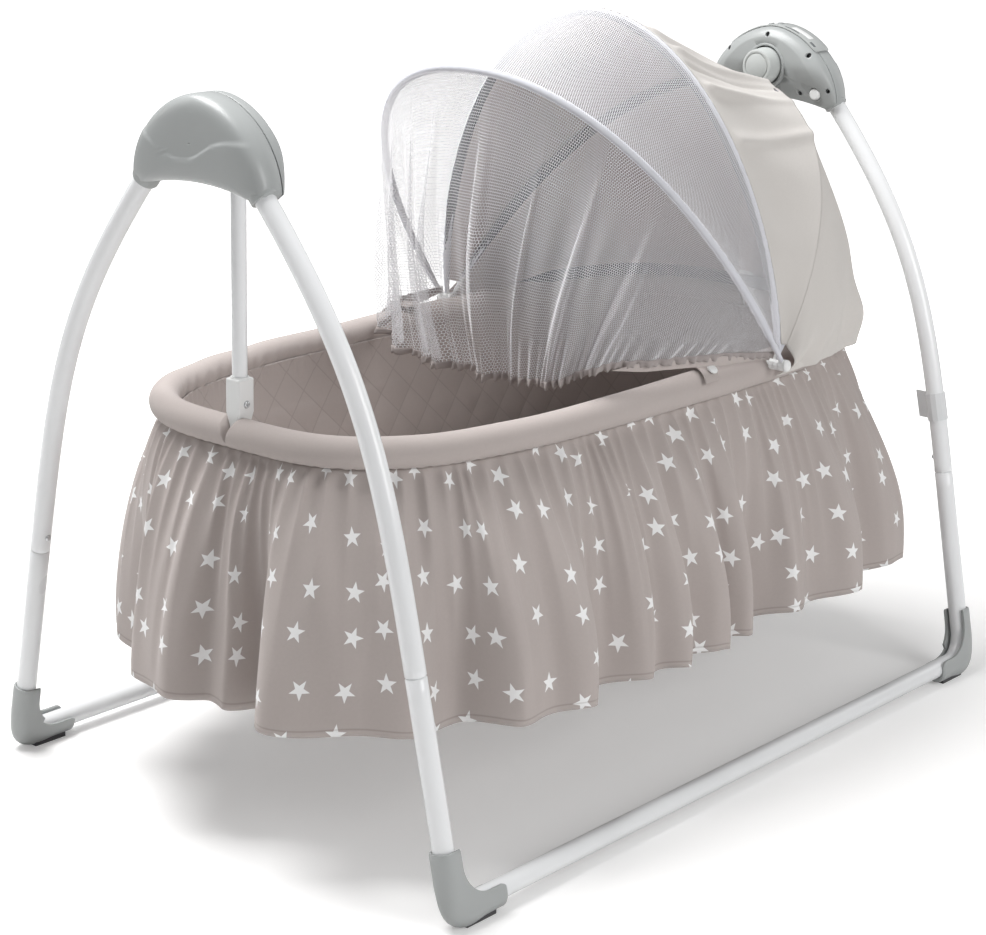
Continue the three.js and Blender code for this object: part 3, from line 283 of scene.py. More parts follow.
def foot_bend(steps=24):
    """An arc of the bend's radius that touches the leg and the bar."""
    half = math.acos(float(up_the_leg @ along_the_bar)) / 2
    reach = BEND_RADIUS / math.tan(half)
    centre = foot_corner + unit(up_the_leg + along_the_bar) * BEND_RADIUS / math.sin(half)
    start = foot_corner + up_the_leg * reach - centre
    end = foot_corner + along_the_bar * reach - centre
    turn = math.acos(float(unit(start) @ unit(end)))
    share = np.linspace(0, 1, steps)[:, None]
    return centre + (np.sin((1 - share) * turn) * start + np.sin(share * turn) * end) / math.sin(turn)


def chamfered_end(from_point, to_point, length, narrow):
    """Two stations that chamfer a tube's end: the end itself, drawn in, and where it is full again."""
    direction = unit(np.asarray(to_point) - from_point)
    return [from_point, from_point + direction * length], [TUBE_RADIUS - narrow, TUBE_RADIUS]


def effect_group(name, inputs, outputs):
    """An empty shader node group with named inputs and their defaults, and named outputs and their kinds."""
    group = bpy.data.node_groups.new(name, "ShaderNodeTree")
    for label, default in inputs.items():
        kind = "NodeSocketFloat"
        if isinstance(default, tuple):
            kind = "NodeSocketColor" if len(default) == 4 else "NodeSocketVector"
        group.interface.new_socket(label, in_out="INPUT", socket_type=kind).default_value = default
    for label, kind in outputs.items():
        group.interface.new_socket(label, in_out="OUTPUT", socket_type=kind)
    return group, node(group, "NodeGroupInput")


def made_surface():
    """Clouds in colour and gloss from the making, and a fine grain for the bump."""
    group, given = effect_group("made_surface", {"Vector": (0.0, 0.0, 0.0), "Colour": (0.5, 0.5, 0.5, 1.0),
        "Tint": 0.05, "Roughness": 0.4, "Roughness Spread": 0.06, "Cloud Scale": 12.0, "Grain Scale": 700.0},
        {"Colour": "NodeSocketColor", "Roughness": "NodeSocketFloat", "Height": "NodeSocketFloat"})
    cloud = node(group, "TexNoise", inputs={"Vector": (given, "Vector"), "Scale": (given, "Cloud Scale"),
        "Detail": 4.0})
    grain = node(group, "TexNoise", inputs={"Vector": (given, "Vector"), "Scale": (given, "Grain Scale"),
        "Detail": 2.0})
    spread = math_node(group, "SUBTRACT", (cloud, "Fac"), 0.5)
    gloss = math_node(group, "MULTIPLY_ADD", (spread, "Value"), (given, "Roughness Spread"),
        (given, "Roughness"))
    shade = math_node(group, "MULTIPLY_ADD", (spread, "Value"), (given, "Tint"), 1.0)
    tint = node(group, "VectorMath", {"operation": "SCALE"}, {"Vector": (given, "Colour"),
        "Scale": (shade, "Value")})
    node(group, "NodeGroupOutput", inputs={"Colour": (tint, "Vector"), "Roughness": (gloss, "Value"),
        "Height": (grain, "Fac")})
    return group


MADE_SURFACE = made_surface()


def finished_material(name, effect, settings, shader_values, bump_strength, bump_distance,
        coordinates="Object"):
    """A material whose colour, roughness and bump come from a shared effect."""
    made, tree, place = material(name)
    surface = node(tree, "Group", {"node_tree": effect}, {"Vector": (place, coordinates), **settings})
    bump = node(tree, "Bump", inputs={"Height": (surface, "Height"), "Strength": bump_strength,
        "Distance": bump_distance})
    shader = node(tree, "BsdfPrincipled", inputs={"Base Color": (surface, "Colour"),
        "Roughness": (surface, "Roughness"), "Normal": (bump, "Normal"), **shader_values})
    node(tree, "OutputMaterial", inputs={"Surface": (shader, "BSDF")})
    return made


def powder_coat(name, colour, roughness):
    """Gloss paint baked on steel, with a faint orange peel."""
    return finished_material(name, MADE_SURFACE, {"Colour": (*colour, 1), "Tint": 0.05,
        "Roughness": roughness, "Roughness Spread": 0.12, "Grain Scale": 420.0}, {"Coat Weight": 0.35,
        "Coat Roughness": 0.12}, 0.12, 0.0004)


SIDES = {"front": -1, "back": 1}
white_coat = powder_coat("white_powder_coat", (0.83, 0.84, 0.85), 0.3)
half_bend = foot_bend()
seam = straight_leg_point(SEAM_HEIGHT)
seam_places, seam_radii = chamfered_end(seam, foot_corner, SEAM_CHAMFER, SEAM_CHAMFER)
for side, sign_y in SIDES.items():
    straight = np.linspace(seam_places[1], half_bend[0], 12)[1:-1]
    half = np.vstack([seam_places, straight, half_bend])
    radii = np.array(seam_radii + [TUBE_RADIUS] * (len(half) - 2))
    route = np.vstack([half, (half * (-1, 1, 1))[::-1]]) * (1, sign_y, 1)
    radii = np.concatenate([radii, radii[::-1]])
    piece = tube(f"base_tube_{side}_coated", route, radii, foot_normal * (1, sign_y, 1))
    painted(piece, white_coat)
    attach(piece, "stand")
    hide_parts(f"base_tube_{side}")

# Leg tubes: the same tube, straight above the joint and then curved in towards the head.
# A spring button in the base tube snaps into a hole in the leg and locks the two together.
LEG_TOP = 0.717
TOP_SPREAD = 0.064
TOP_SLOPE = 0.876
LOWER_HANDLE = 0.220
UPPER_HANDLE = 0.170


def leg_x(height):
    return FOOT_X + LEG_LEAN * (height - BASE_HEIGHT)


def leg_bend(share):
    """Places on the curved part of the leg: a cubic curve from the joint to the top, in the +X +Y corner."""
    shoulder = LEG_TOP - UPPER_HANDLE
    anchors = np.array([
        straight_leg_point(SEAM_HEIGHT),
        straight_leg_point(SEAM_HEIGHT + LOWER_HANDLE),
        (leg_x(shoulder), TOP_SPREAD + TOP_SLOPE * UPPER_HANDLE, shoulder),
        (leg_x(LEG_TOP), TOP_SPREAD, LEG_TOP)])
    t = np.asarray(share, float)[:, None]
    weights = ((1 - t) ** 3, 3 * t * (1 - t) ** 2, 3 * t**2 * (1 - t), t**3)
    return sum(weight * anchor for weight, anchor in zip(weights, anchors))


CORNERS = {"front_idle": (-1, -1), "back_idle": (-1, 1), "front_motor": (1, -1), "back_motor": (1, 1)}
bend = leg_bend(np.linspace(0, 1, 72))
for corner, (sign_x, sign_y) in CORNERS.items():
    start, start_radii = chamfered_end(bend[0], bend[1], SEAM_CHAMFER, SEAM_CHAMFER)
    route = np.vstack([start, bend[1:]]) * (sign_x, sign_y, 1)
    radii = np.array(start_radii + [TUBE_RADIUS] * (len(bend) - 1))
    piece = tube(f"leg_tube_{corner}_coated", route, radii, (1, 0, 0))
    painted(piece, white_coat)
    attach(piece, "stand")
    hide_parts(f"leg_tube_{corner}")


def brushed_metal(name, colour, roughness):
    """Turned or rolled metal: fine lines round the piece, with small changes of gloss."""
    made, tree, place = material(name)
    stretched = node(tree, "Mapping", inputs={"Vector": (place, "Object"), "Scale": (60, 900, 900)})
    lines = node(tree, "TexNoise", inputs={"Vector": (stretched, "Vector"), "Scale": 1.0, "Detail": 3.0})
    gloss = node(tree, "MapRange", inputs={"Value": (lines, "Fac"), "To Min": roughness - 0.08,
        "To Max": roughness + 0.12})
    bump = node(tree, "Bump", inputs={"Height": (lines, "Fac"), "Strength": 0.2, "Distance": 0.0002})
    shader = node(tree, "BsdfPrincipled", inputs={"Base Color": (*colour, 1), "Metallic": 1.0,
        "Roughness": (gloss, "Result"), "Normal": (bump, "Normal")})
    node(tree, "OutputMaterial", inputs={"Surface": (shader, "BSDF")})
    return made


def repaint(names, finish):
    """Gives CAD nodes that keep their shape a better material."""
    for name in names:
        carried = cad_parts[name]
        if not carried.material_slots:
            carried.data.materials.append(finish)
        for slot in carried.material_slots:
            slot.link = "OBJECT"
            slot.material = finish


steel = brushed_metal("zinc_plated_steel", (0.62, 0.63, 0.64), 0.34)


def pressed_button(node_name, foot, tip, radius, rounding, finish):
    """A round button from foot to tip: a lathe profile whose rim is a quarter circle of the rounding."""
    foot, tip = np.asarray(foot, float), np.asarray(tip, float)
    direction = unit(tip - foot)
    length = np.linalg.norm(tip - foot)
    turn = np.linspace(0, math.pi / 2, 7)
    along = np.concatenate([[0], length - rounding + rounding * np.sin(turn), [length]])
    reach = np.concatenate([[radius], radius - rounding + rounding * np.cos(turn), [radius * 0.4]])
    normal = unit(np.cross(direction, (0.31, 0.17, 0.94)))
    path = foot + along[:, None] * direction
    angle = full_turn(32)[None, :, None]
    across = np.cross(normal, direction)
    points = path[:, None] + reach[:, None, None] * (np.cos(angle) * across + np.sin(angle) * normal)
    piece = outward(grid_object(f"{node_name}_domed", points, loop_columns=True, caps=True))
    painted(piece, finish)
    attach(piece, node_name)
    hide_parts(node_name)


SNAP_RISE = 0.017
SNAP_RADIUS = 0.0034
SNAP_LENGTH = 0.009
SNAP_PROUD = 0.0024
snap_centre = straight_leg_point(SEAM_HEIGHT + SNAP_RISE)
for corner, (sign_x, sign_y) in CORNERS.items():
    tip = (snap_centre - (0, TUBE_RADIUS + SNAP_PROUD, 0)) * (sign_x, sign_y, 1)
    root = tip + np.array((0, SNAP_LENGTH * sign_y, 0))
    pressed_button(f"leg_snap_button_{corner}", root, tip, SNAP_RADIUS, 0.0014, steel)

# Foot covers: a grey moulded boot clipped over each bend. It wraps the outside of the tube, and its two
# flanks fill the bend with a smooth hollow curve.
COVER_WALL = 0.003
COVER_GAP = 0.0003
LEG_REACH = 0.062
BAR_REACH = 0.068
FILLET = 0.036
WING_LEAST = 0.0095
INNER_WING = 0.0058
HEEL_FILL = 0.012
SOLE_FILL = 0.003
SOLE_HEIGHT = 0.0026


def moulded_plastic(name, colour, roughness, grain=0.25):
    """Injection-moulded plastic: a fine spark-eroded grain, and faint clouds from the flow in the mould."""
    return finished_material(name, MADE_SURFACE, {"Colour": (*colour, 1), "Tint": 0.1,
        "Roughness": roughness, "Roughness Spread": 0.1, "Grain Scale": 900.0}, {}, grain, 0.0002)


grey_plastic = moulded_plastic("grey_moulded_plastic", (0.375, 0.39, 0.388), 0.34)


def smoothstep(value, low, high):
    share = np.clip((value - low) / (high - low), 0, 1)
    return share * share * (3 - 2 * share)


def foot_cover(name):
    """A half pipe over the route, closed by two wings that reach in to a fillet: a circle that touches the
    inner sides of the leg and the bar. The wing on the cradle's side is the lower one, both end in a round
    corner, the heel is filled out and the sole is flat."""
    top = foot_corner + up_the_leg * LEG_REACH
    tip = foot_corner + along_the_bar * BAR_REACH
    arc = foot_bend(20)
    route = np.vstack([np.linspace(top, arc[0], 12)[:-1], arc, np.linspace(arc[-1], tip, 36)[1:]])
    travel = units(np.gradient(route, axis=0))
    out = -np.cross(travel, foot_normal)
    out *= np.sign(np.einsum("ij,j->i", out, foot_corner - arc[len(arc) // 2]).sum())
    distance = distance_along(route)
    share = distance / distance[-1]
    half = math.acos(float(up_the_leg @ along_the_bar)) / 2
    middle = foot_corner + unit(up_the_leg + along_the_bar) * (FILLET + WING_LEAST) / math.sin(half)
    across = np.einsum("ij,ij->i", middle - route, -out)
    gap = np.sum((middle - route) ** 2, axis=1) - FILLET**2
    wing = np.maximum(across - np.sqrt(np.maximum(across**2 - gap, 0)), WING_LEAST)
    beyond = np.linalg.norm(route - foot_corner, axis=1) > (FILLET + WING_LEAST) / math.tan(half)
    wing = np.where(beyond, WING_LEAST, wing)
    lower_wing = np.where(share > 0.5, np.minimum(wing, INNER_WING + 0.6 * (wing - WING_LEAST)), wing)
    tip_round = np.sqrt(1 - np.clip((share - 0.93) / 0.07, 0, 0.97) ** 2)
    wings = [lower_wing * tip_round, wing * tip_round]
    right, left = wings if foot_normal[1] * foot_corner[1] < 0 else wings[::-1]
    heel = HEEL_FILL * np.exp(-(((share - 0.5) / 0.13) ** 2)) + SOLE_FILL * smoothstep(share, 0.5, 0.62)
    rounding = 1 - 0.05 * np.exp(-((share / 0.012) ** 2)) - 0.1 * np.exp(-(((share - 1) / 0.012) ** 2))
    angle = np.linspace(0, math.pi, 25)
    sections = []
    for radius, fill in ((TUBE_RADIUS + COVER_GAP + COVER_WALL, heel), (TUBE_RADIUS + COVER_GAP, 0 * heel)):
        size = radius * (rounding if radius > TUBE_RADIUS + COVER_WALL else np.ones_like(share))
        arch = [(size * math.cos(a), (size + fill) * math.sin(a) ** 0.8) for a in angle]
        legs = np.linspace(0, 1, 6)[1:]
        right_wing = [(size, -right * depth) for depth in legs[::-1]]
        left_wing = [(-size, -left * depth) for depth in legs]
        outline = right_wing + arch + left_wing
        section = np.array([route + foot_normal * np.reshape(side, (-1, 1)) + out * np.reshape(rise, (-1, 1))
            for side, rise in outline])
        sections.append(section if not sections else section[::-1])
    points = np.concatenate(sections).transpose(1, 0, 2)
    points[..., 2] = np.maximum(points[..., 2], SOLE_HEIGHT)
    return outward(grid_object(name, points, loop_columns=True, caps=True))


def applied(piece):
    """Applies every modifier on a piece, so that its mesh is the final one."""
    evaluated = piece.evaluated_get(bpy.context.evaluated_depsgraph_get())
    mesh = bpy.data.meshes.new_from_object(evaluated)
    piece.modifiers.clear()
    piece.data = mesh
    return piece


def mirrored(piece, name, sign_x, sign_y):
    """A copy of a piece at another corner, with its faces still outward."""
    copy = bpy.data.objects.new(name, piece.data.copy())
    copy.data.transform(Matrix.Diagonal((sign_x, sign_y, 1, 1)))
    if sign_x * sign_y < 0:
        copy.data.flip_normals()
    scene.collection.objects.link(copy)
    return copy


def softened(piece, width, segments=3):
    """Rounds a piece's sharp edges with a bevel, applied, and keeps the flats flat."""
    bevel = piece.modifiers.new("edges", "BEVEL")
    bevel.width = width
    bevel.segments = segments
    bevel.limit_method = "ANGLE"
    bevel.angle_limit = math.radians(35)
    bevel.harden_normals = True
    return applied(piece)


boot = softened(foot_cover("boot_pattern"), 0.0012)
for corner, (sign_x, sign_y) in CORNERS.items():
    piece = mirrored(boot, f"foot_cover_{corner}_moulded", sign_x, sign_y)
    painted(piece, grey_plastic)
    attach(piece, "stand")
    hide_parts(f"foot_cover_{corner}")
bpy.data.objects.remove(boot)

# Foot pads: a block of dark rubber under each cover, the only thing that touches the floor.
rubber = moulded_plastic("dark_rubber", (0.075, 0.075, 0.078), 0.72, grain=0.6)
repaint([f"foot_pad_{corner}" for corner in CORNERS], rubber)

# Label: a blank white tape wrapped round the front motor leg, its ends stuck together as a flag.
label_tape = moulded_plastic("blank_label_tape", (0.70, 0.71, 0.72), 0.42, grain=0.1)
repaint(["leg_label_flag"], label_tape)

# Head housings: each is a domed outer shell and an inner shell, moulded in satin grey plastic and screwed
# together round the tops of the two legs. A sculpted ledge runs across each outer face.
SWING_HEIGHT = 0.738
HEAD_HALF = 0.095
HEAD_RISE = 0.090
HEAD_SQUARENESS = 1.8
SPRING_HEIGHT = 0.696
ARCH_HEIGHT = 0.698
ARCH_DROP = 0.0105
ARCH_HALF = 0.084
SEAM_X = 0.489
OUTER_FACE_X = 0.5245
INNER_FACE_X = 0.4665
CHIN_HEIGHT = 0.745
OUTER_CHIN = 0.08
INNER_CHIN = 0.8
SHELL_WALL = 0.003
SHELL_GAP = 0.0004
LEDGE_PROUD = 0.0018
LEDGE_WIDTH = 0.0040


def head_outline():
    """The head seen along X: a superellipse dome over a shallow parabolic arch, as (Y, Z) pairs."""
    power = 2 / HEAD_SQUARENESS
    angle = np.linspace(0, math.pi, 97)
    dome_y = HEAD_HALF * np.sign(np.cos(angle)) * np.abs(np.cos(angle)) ** power
    dome_z = SPRING_HEIGHT + HEAD_RISE * np.abs(np.sin(angle)) ** power
    across = np.linspace(-1, 1, 33)
    arch_y = ARCH_HALF * across
    arch_z = ARCH_HEIGHT - ARCH_DROP * across**2
    return np.column_stack([np.concatenate([dome_y, arch_y]), np.concatenate([dome_z, arch_z])])


def ledge_height(y):
    """The ledge on an outer face: almost level, with a rounded dip behind the middle."""
    return 0.7445 - 0.023 * np.exp(-(np.abs((y - 0.016) / 0.042) ** 2.6)) + 0.012 * smoothstep(y, 0.06, 0.09)


def inner_share(y, z):
    """How far out the inner shell stands at a place of its face: the rings are drawn in until one
    meets it."""
    size = np.linspace(1, 0.765, 200)
    up = np.maximum(SWING_HEIGHT + (z - SWING_HEIGHT) / size - SPRING_HEIGHT, 0) / HEAD_RISE
    inside = np.abs(y / size / HEAD_HALF) ** HEAD_SQUARENESS + up**HEAD_SQUARENESS
    size = np.interp(1, inside, size)
    return ((1 - size) / 0.24) ** 0.25


def head_shell(name, along, wide, seam_x, face_x, chin_share, ledge):
    """Rings of the outline from the seam to the face. Ring k is the outline drawn in to wide[k] and pushed
    out to along[k] of the depth, which is less at the chin. Below the ledge the face stands prouder."""
    outline = head_outline()
    depth = face_x - seam_x
    rings = []
    for out, size in zip(along, wide):
        y = outline[:, 0] * size
        z = SWING_HEIGHT + (outline[:, 1] - SWING_HEIGHT) * size
        low = 1 - smoothstep(z, ARCH_HEIGHT - ARCH_DROP, CHIN_HEIGHT)
        x = seam_x + depth * (1 - chin_share * low) * out
        if ledge:
            below = smoothstep(ledge_height(y) - z, -LEDGE_WIDTH / 2, LEDGE_WIDTH / 2)
            x = x + np.sign(depth) * LEDGE_PROUD * below * smoothstep(out, 0.35, 0.9)
        rings.append(np.column_stack([x, y, z]))
    points = np.array(rings)
    piece = grid_object(name, points, loop_columns=True)
    shell = piece.modifiers.new("wall", "SOLIDIFY")
    shell.thickness = SHELL_WALL
    shell.offset = -1
    return piece


def faces_from(piece, centre):
    """Turns the faces of an open shell away from a centre point."""
    faces = piece.data.polygons
    away = ((triples(faces, "center") - centre) * triples(faces, "normal")).sum()
    if away < 0:
        piece.data.flip_normals()
    return piece


def ring_cutter(name, centre, axis_from, axis_to, radius, sides=40):
    """A round bar along X for a hole: from axis_from to axis_to at the centre (Y, Z)."""
    path = np.array([(axis_from, *centre), ((axis_from + axis_to) / 2, *centre), (axis_to, *centre)])
    return tube(name, path, radius, (0, 0, 1), sides)


def with_holes(piece, cutters):
    """Cuts every cutter out of the piece and removes them."""
    for cutter in cutters:
        hole = piece.modifiers.new("hole", "BOOLEAN")
        hole.operation = "DIFFERENCE"
        hole.object = cutter
        hole.solver = "EXACT"
    applied(piece)
    for cutter in cutters:
        bpy.data.objects.remove(cutter)
    return piece


HUB_HOLE_RADIUS = 0.025
RELEASE_SPREAD = 0.068
RELEASE_HEIGHT = 0.707
RELEASE_RADIUS = 0.0075
SCREW_HOLE_RADIUS = 0.0030
SCREW_HOLES = ((0, 0.777), (-0.060, 0.755), (0.060, 0.755), (-0.046, 0.706), (0.046, 0.706),
    (-0.086, 0.712), (0.086, 0.712))

turn = np.linspace(0, math.pi / 2, 34)[:-1]
outer_along = np.concatenate([[0], np.sin(turn) ** (1 / 3), np.ones(16)])
outer_wide = np.concatenate([[1 - 0.0007 / HEAD_HALF], np.cos(turn) ** (1 / 3), np.linspace(0.335, 0.01, 16)])
outer_along[1] = 0.02
reach = np.linspace(0, 0.97, 22)
inner_along = np.concatenate([[0], reach[1:], [0.992, 1, 1, 1, 1]])
inner_wide = np.concatenate([[1 - 0.0007 / HEAD_HALF], 1 - 0.24 * reach[1:] ** 4,
    [0.765, 0.735, 0.5, 0.25, 0.02]])
ENDS = {"idle": -1, "motor": 1}
for end, sign_x in ENDS.items():
    outer = head_shell("outer_pattern", outer_along, outer_wide, SEAM_X + SHELL_GAP,
        OUTER_FACE_X - LEDGE_PROUD, OUTER_CHIN, True)
    faces_from(outer, (SEAM_X, 0, SWING_HEIGHT))
    applied(outer)
    inner = head_shell("inner_pattern", inner_along, inner_wide, SEAM_X - SHELL_GAP, INNER_FACE_X,
        INNER_CHIN, False)
    faces_from(inner, (SEAM_X, 0, SWING_HEIGHT))
    applied(inner)
    cutters = [ring_cutter("hub_hole", (0, SWING_HEIGHT), 0.44, 0.50, HUB_HOLE_RADIUS, 64)]
    for y in (-RELEASE_SPREAD, RELEASE_SPREAD):
        cutters.append(ring_cutter("release_hole", (y, RELEASE_HEIGHT), 0.44, 0.50, RELEASE_RADIUS + 0.0006))
    for y, z in SCREW_HOLES:
        cutters.append(ring_cutter("screw_hole", (y, z), 0.44, 0.50, SCREW_HOLE_RADIUS, 24))
    with_holes(inner, cutters)
    for kind, pattern in (("outer", outer), ("inner", inner)):
        piece = mirrored(pattern, f"{end}_{kind}_shell_moulded", sign_x, 1)
        painted(piece, grey_plastic)
        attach(piece, "stand")
        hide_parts(f"{end}_{kind}_shell")
        bpy.data.objects.remove(pattern)

# Leg collars: short sleeves under each housing, moulded with its outer shell, that the legs enter.
COLLAR_WALL = 0.0034
COLLAR_BELOW = 0.0055
COLLAR_ABOVE = 0.010


def sleeve(name, start, end, outer, inner, rounding):
    """A sleeve from start to end: a closed section of two walls with rounded rims, turned about the line."""
    start, end = np.asarray(start, float), np.asarray(end, float)
    direction = unit(end - start)
    length = np.linalg.norm(end - start)
    soft = rounding * 0.3
    along = np.array([rounding, soft, 0, 0, length, length, length - soft, length - rounding])
    reach = np.array([outer, outer - soft, outer - rounding, inner, inner, outer - rounding,
        outer - soft, outer])
    side = unit(np.cross(direction, (0.9, 0.3, 0.1)))
    other = np.cross(direction, side)
    angle = full_turn(40)[None, :, None]
    around = np.cos(angle) * side + np.sin(angle) * other
    points = start + along[:, None, None] * direction + reach[:, None, None] * around
    return crisp(outward(grid_object(name, points, loop_rows=True, loop_columns=True)))


def crisp(piece, angle=32):
    """Keeps edges sharper than the angle unsmoothed."""
    piece.data.set_sharp_from_angle(angle=math.radians(angle))
    return piece


def leg_place(height):
    """The leg's centre line at a height, in the +X +Y corner."""
    curve = leg_bend(np.linspace(0, 1, 400))
    return curve[np.abs(curve[:, 2] - height).argmin()]


for end, sign_x in ENDS.items():
    for side, sign_y in SIDES.items():
        exit_place = leg_place(SPRING_HEIGHT)
        along = unit(leg_place(SPRING_HEIGHT + COLLAR_ABOVE) - leg_place(SPRING_HEIGHT - COLLAR_BELOW))
        corner = np.array((sign_x, sign_y, 1))
        low = (exit_place - along * COLLAR_BELOW) * corner
        high = (exit_place + along * COLLAR_ABOVE) * corner
        piece = sleeve(f"{end}_collar_{side}", low, high, TUBE_RADIUS + COLLAR_WALL,
            TUBE_RADIUS + COVER_GAP, 0.0012)
        painted(piece, grey_plastic)
        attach(piece, "stand")

# Hub rings and hubs: a raised ring round the hole in each inner shell, and the hub that turns inside it with
# a round boss. The hanger tube is fixed in the hub's underside.
HUB_RADIUS = 0.023
HUB_FACE_RADIUS = 0.0215
HUB_FACE_X = 0.4465
HUB_BACK_X = 0.474
HUB_CHAMFER = 0.002
GROOVE_RADIUS = 0.017
GROOVE_WIDTH = 0.0012
GROOVE_DEPTH = 0.001
AXLE_RADIUS = 0.006
AXLE_END_X = 0.503


def turned(name, profile, sides=72):
    """A body turned about the swing axis: a profile of (X, radius) pairs whose ends lie on the axis or
    meet."""
    profile = np.asarray(profile, float)
    angle = full_turn(sides)[None, :]
    x = np.broadcast_to(profile[:, :1], (len(profile), sides))
    points = np.stack([x, profile[:, 1:] * np.cos(angle), SWING_HEIGHT + profile[:, 1:] * np.sin(angle)], -1)
    closed = bool(profile[0, 1] > 1e-4)
    return crisp(outward(grid_object(name, points, loop_rows=closed, loop_columns=True)))


boss_plastic = moulded_plastic("pale_grey_plastic", (0.50, 0.52, 0.51), 0.38)
groove_inside = GROOVE_RADIUS - GROOVE_WIDTH
hub_profile = [
    (HUB_FACE_X, 1e-5), (HUB_FACE_X, groove_inside - 0.0006), (HUB_FACE_X + 0.0003, groove_inside),
    (HUB_FACE_X + GROOVE_DEPTH, groove_inside), (HUB_FACE_X + GROOVE_DEPTH, GROOVE_RADIUS),
    (HUB_FACE_X + 0.0003, GROOVE_RADIUS), (HUB_FACE_X, GROOVE_RADIUS + 0.0006),
    (HUB_FACE_X, HUB_FACE_RADIUS - HUB_CHAMFER),
    (HUB_FACE_X + HUB_CHAMFER * 0.3, HUB_FACE_RADIUS - HUB_CHAMFER * 0.3),
    (HUB_FACE_X + HUB_CHAMFER, HUB_FACE_RADIUS), (INNER_FACE_X, HUB_RADIUS), (HUB_BACK_X, HUB_RADIUS),
    (HUB_BACK_X, AXLE_RADIUS), (AXLE_END_X, AXLE_RADIUS), (AXLE_END_X, 1e-5)]
ring_profile = [
    (0.488, HUB_HOLE_RADIUS), (INNER_FACE_X - 0.0004, HUB_HOLE_RADIUS),
    (INNER_FACE_X - 0.0008, HUB_HOLE_RADIUS + 0.0006), (INNER_FACE_X - 0.0008, HUB_HOLE_RADIUS + 0.0024),
    (INNER_FACE_X, HUB_HOLE_RADIUS + 0.003), (0.488, HUB_HOLE_RADIUS + 0.003)]
for end, sign_x in ENDS.items():
    for label, profile, body, finish in (("hub_turned", hub_profile, "cradle", boss_plastic),
            ("hub_ring", ring_profile, "stand", grey_plastic)):
        pattern = turned("turned_pattern", profile)
        piece = mirrored(pattern, f"{end}_{label}", sign_x, 1)
        bpy.data.objects.remove(pattern)
        painted(piece, finish)
        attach(piece, body)
    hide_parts(f"{end}_hub")

# Release buttons: white plungers in each inner shell that free the hanger from the hub.
RELEASE_FACE_X = 0.4775
RELEASE_LENGTH = 0.008
white_plastic = moulded_plastic("white_moulded_plastic", (0.76, 0.765, 0.76), 0.3, grain=0.12)
for end, sign_x in ENDS.items():
    for side, sign_y in SIDES.items():
        face = np.array((RELEASE_FACE_X * sign_x, RELEASE_SPREAD * sign_y, RELEASE_HEIGHT))
        back = face + np.array((RELEASE_LENGTH * sign_x, 0, 0))
        pressed_button(f"{end}_release_button_{side}", back, face, RELEASE_RADIUS, 0.0022, white_plastic)
        inward = np.array((sign_x, 0, 0))
        rim = sleeve(f"{end}_release_rim_{side}", face + 0.0035 * inward, face + 0.010 * inward,
            RELEASE_RADIUS + 0.0022, RELEASE_RADIUS + 0.0005, 0.0008)
        painted(rim, grey_plastic)
        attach(rim, "stand")

# Housing screws: dark cross-head screws at the bottom of the wells in the inner shells.
SCREW_HEAD_RADIUS = 0.0026


def screw_head(name, centre, direction, radius):
    """A pan head: a shallow dome of rings round its axis, with a dark slot pressed in as two crossed dips."""
    angle = full_turn(24)[None, :]
    share = np.array([1, 1, 0.93, 0.75, 0.5, 0.28, 0.12, 0.01])[:, None]
    rise = np.array([-0.5, 0, 0.14, 0.26, 0.33, 0.36, 0.37, 0.37])[:, None] * radius
    side = unit(np.cross(direction, (0.2, 0.3, 0.93)))
    other = np.cross(direction, side)
    a = share * np.cos(angle)
    b = share * np.sin(angle)
    upright, level = (np.exp(-((t / 0.13) ** 4)) for t in (a, b))
    cross = np.maximum(upright * (abs(b) < 0.62), level * (abs(a) < 0.62))
    depth = rise - 0.45 * radius * cross * (share < 0.7)
    spread = radius * (a[..., None] * side + b[..., None] * other)
    points = np.asarray(centre, float) + spread + depth[..., None] * np.asarray(direction, float)
    return outward(grid_object(name, points, loop_columns=True, caps=True))


dark_screw = brushed_metal("blackened_screw", (0.10, 0.10, 0.105), 0.42)
for end, sign_x in ENDS.items():
    for index, (y, z) in enumerate(SCREW_HOLES):
        low = 1 - smoothstep(z, ARCH_HEIGHT - ARCH_DROP, CHIN_HEIGHT)
        face_x = SEAM_X + (INNER_FACE_X - SEAM_X) * (1 - INNER_CHIN * low) * inner_share(y, z)
        place = ((face_x + 0.0035) * sign_x, y, z)
        piece = screw_head(f"{end}_housing_screw_{index}", place, (-sign_x, 0, 0), SCREW_HEAD_RADIUS)
        painted(piece, dark_screw)
        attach(piece, "stand")

# Control panel: a thin pale plate that follows the dome of the motor head, with three rubber buttons and a
# narrow dark window.
PANEL_START_X = 0.481
PANEL_END_X = 0.513
PANEL_FROM = 46
PANEL_TO = 134
PANEL_LOW = 0.0006
PANEL_THICKNESS = 0.0016
PANEL_BUTTONS = {"power_button": (112, 0.005), "speed_button": (100, 0.004), "timer_button": (90, 0.004)}
BUTTON_X = 0.497
BUTTON_DEPTH = 0.003
BUTTON_PROUD = 0.0016


def dome_place(degrees, x, raised):
    """A place on the head's dome at an angle from its front corner, raised square to it by a distance."""
    turn = np.radians(np.asarray(degrees, float))
    power = 2 / HEAD_SQUARENESS
    across = -np.sign(np.cos(turn)) * np.abs(np.cos(turn)) ** power
    rise = np.sin(turn) ** power
    slope_y = np.sign(across) * np.abs(across) ** (HEAD_SQUARENESS - 1) / HEAD_HALF
    slope_z = rise ** (HEAD_SQUARENESS - 1) / HEAD_RISE
    size = np.hypot(slope_y, slope_z)
    y = HEAD_HALF * across + raised * slope_y / size
    z = SPRING_HEIGHT + HEAD_RISE * rise + raised * slope_z / size
    return np.stack([np.broadcast_to(x, np.shape(y)), y, z], -1)


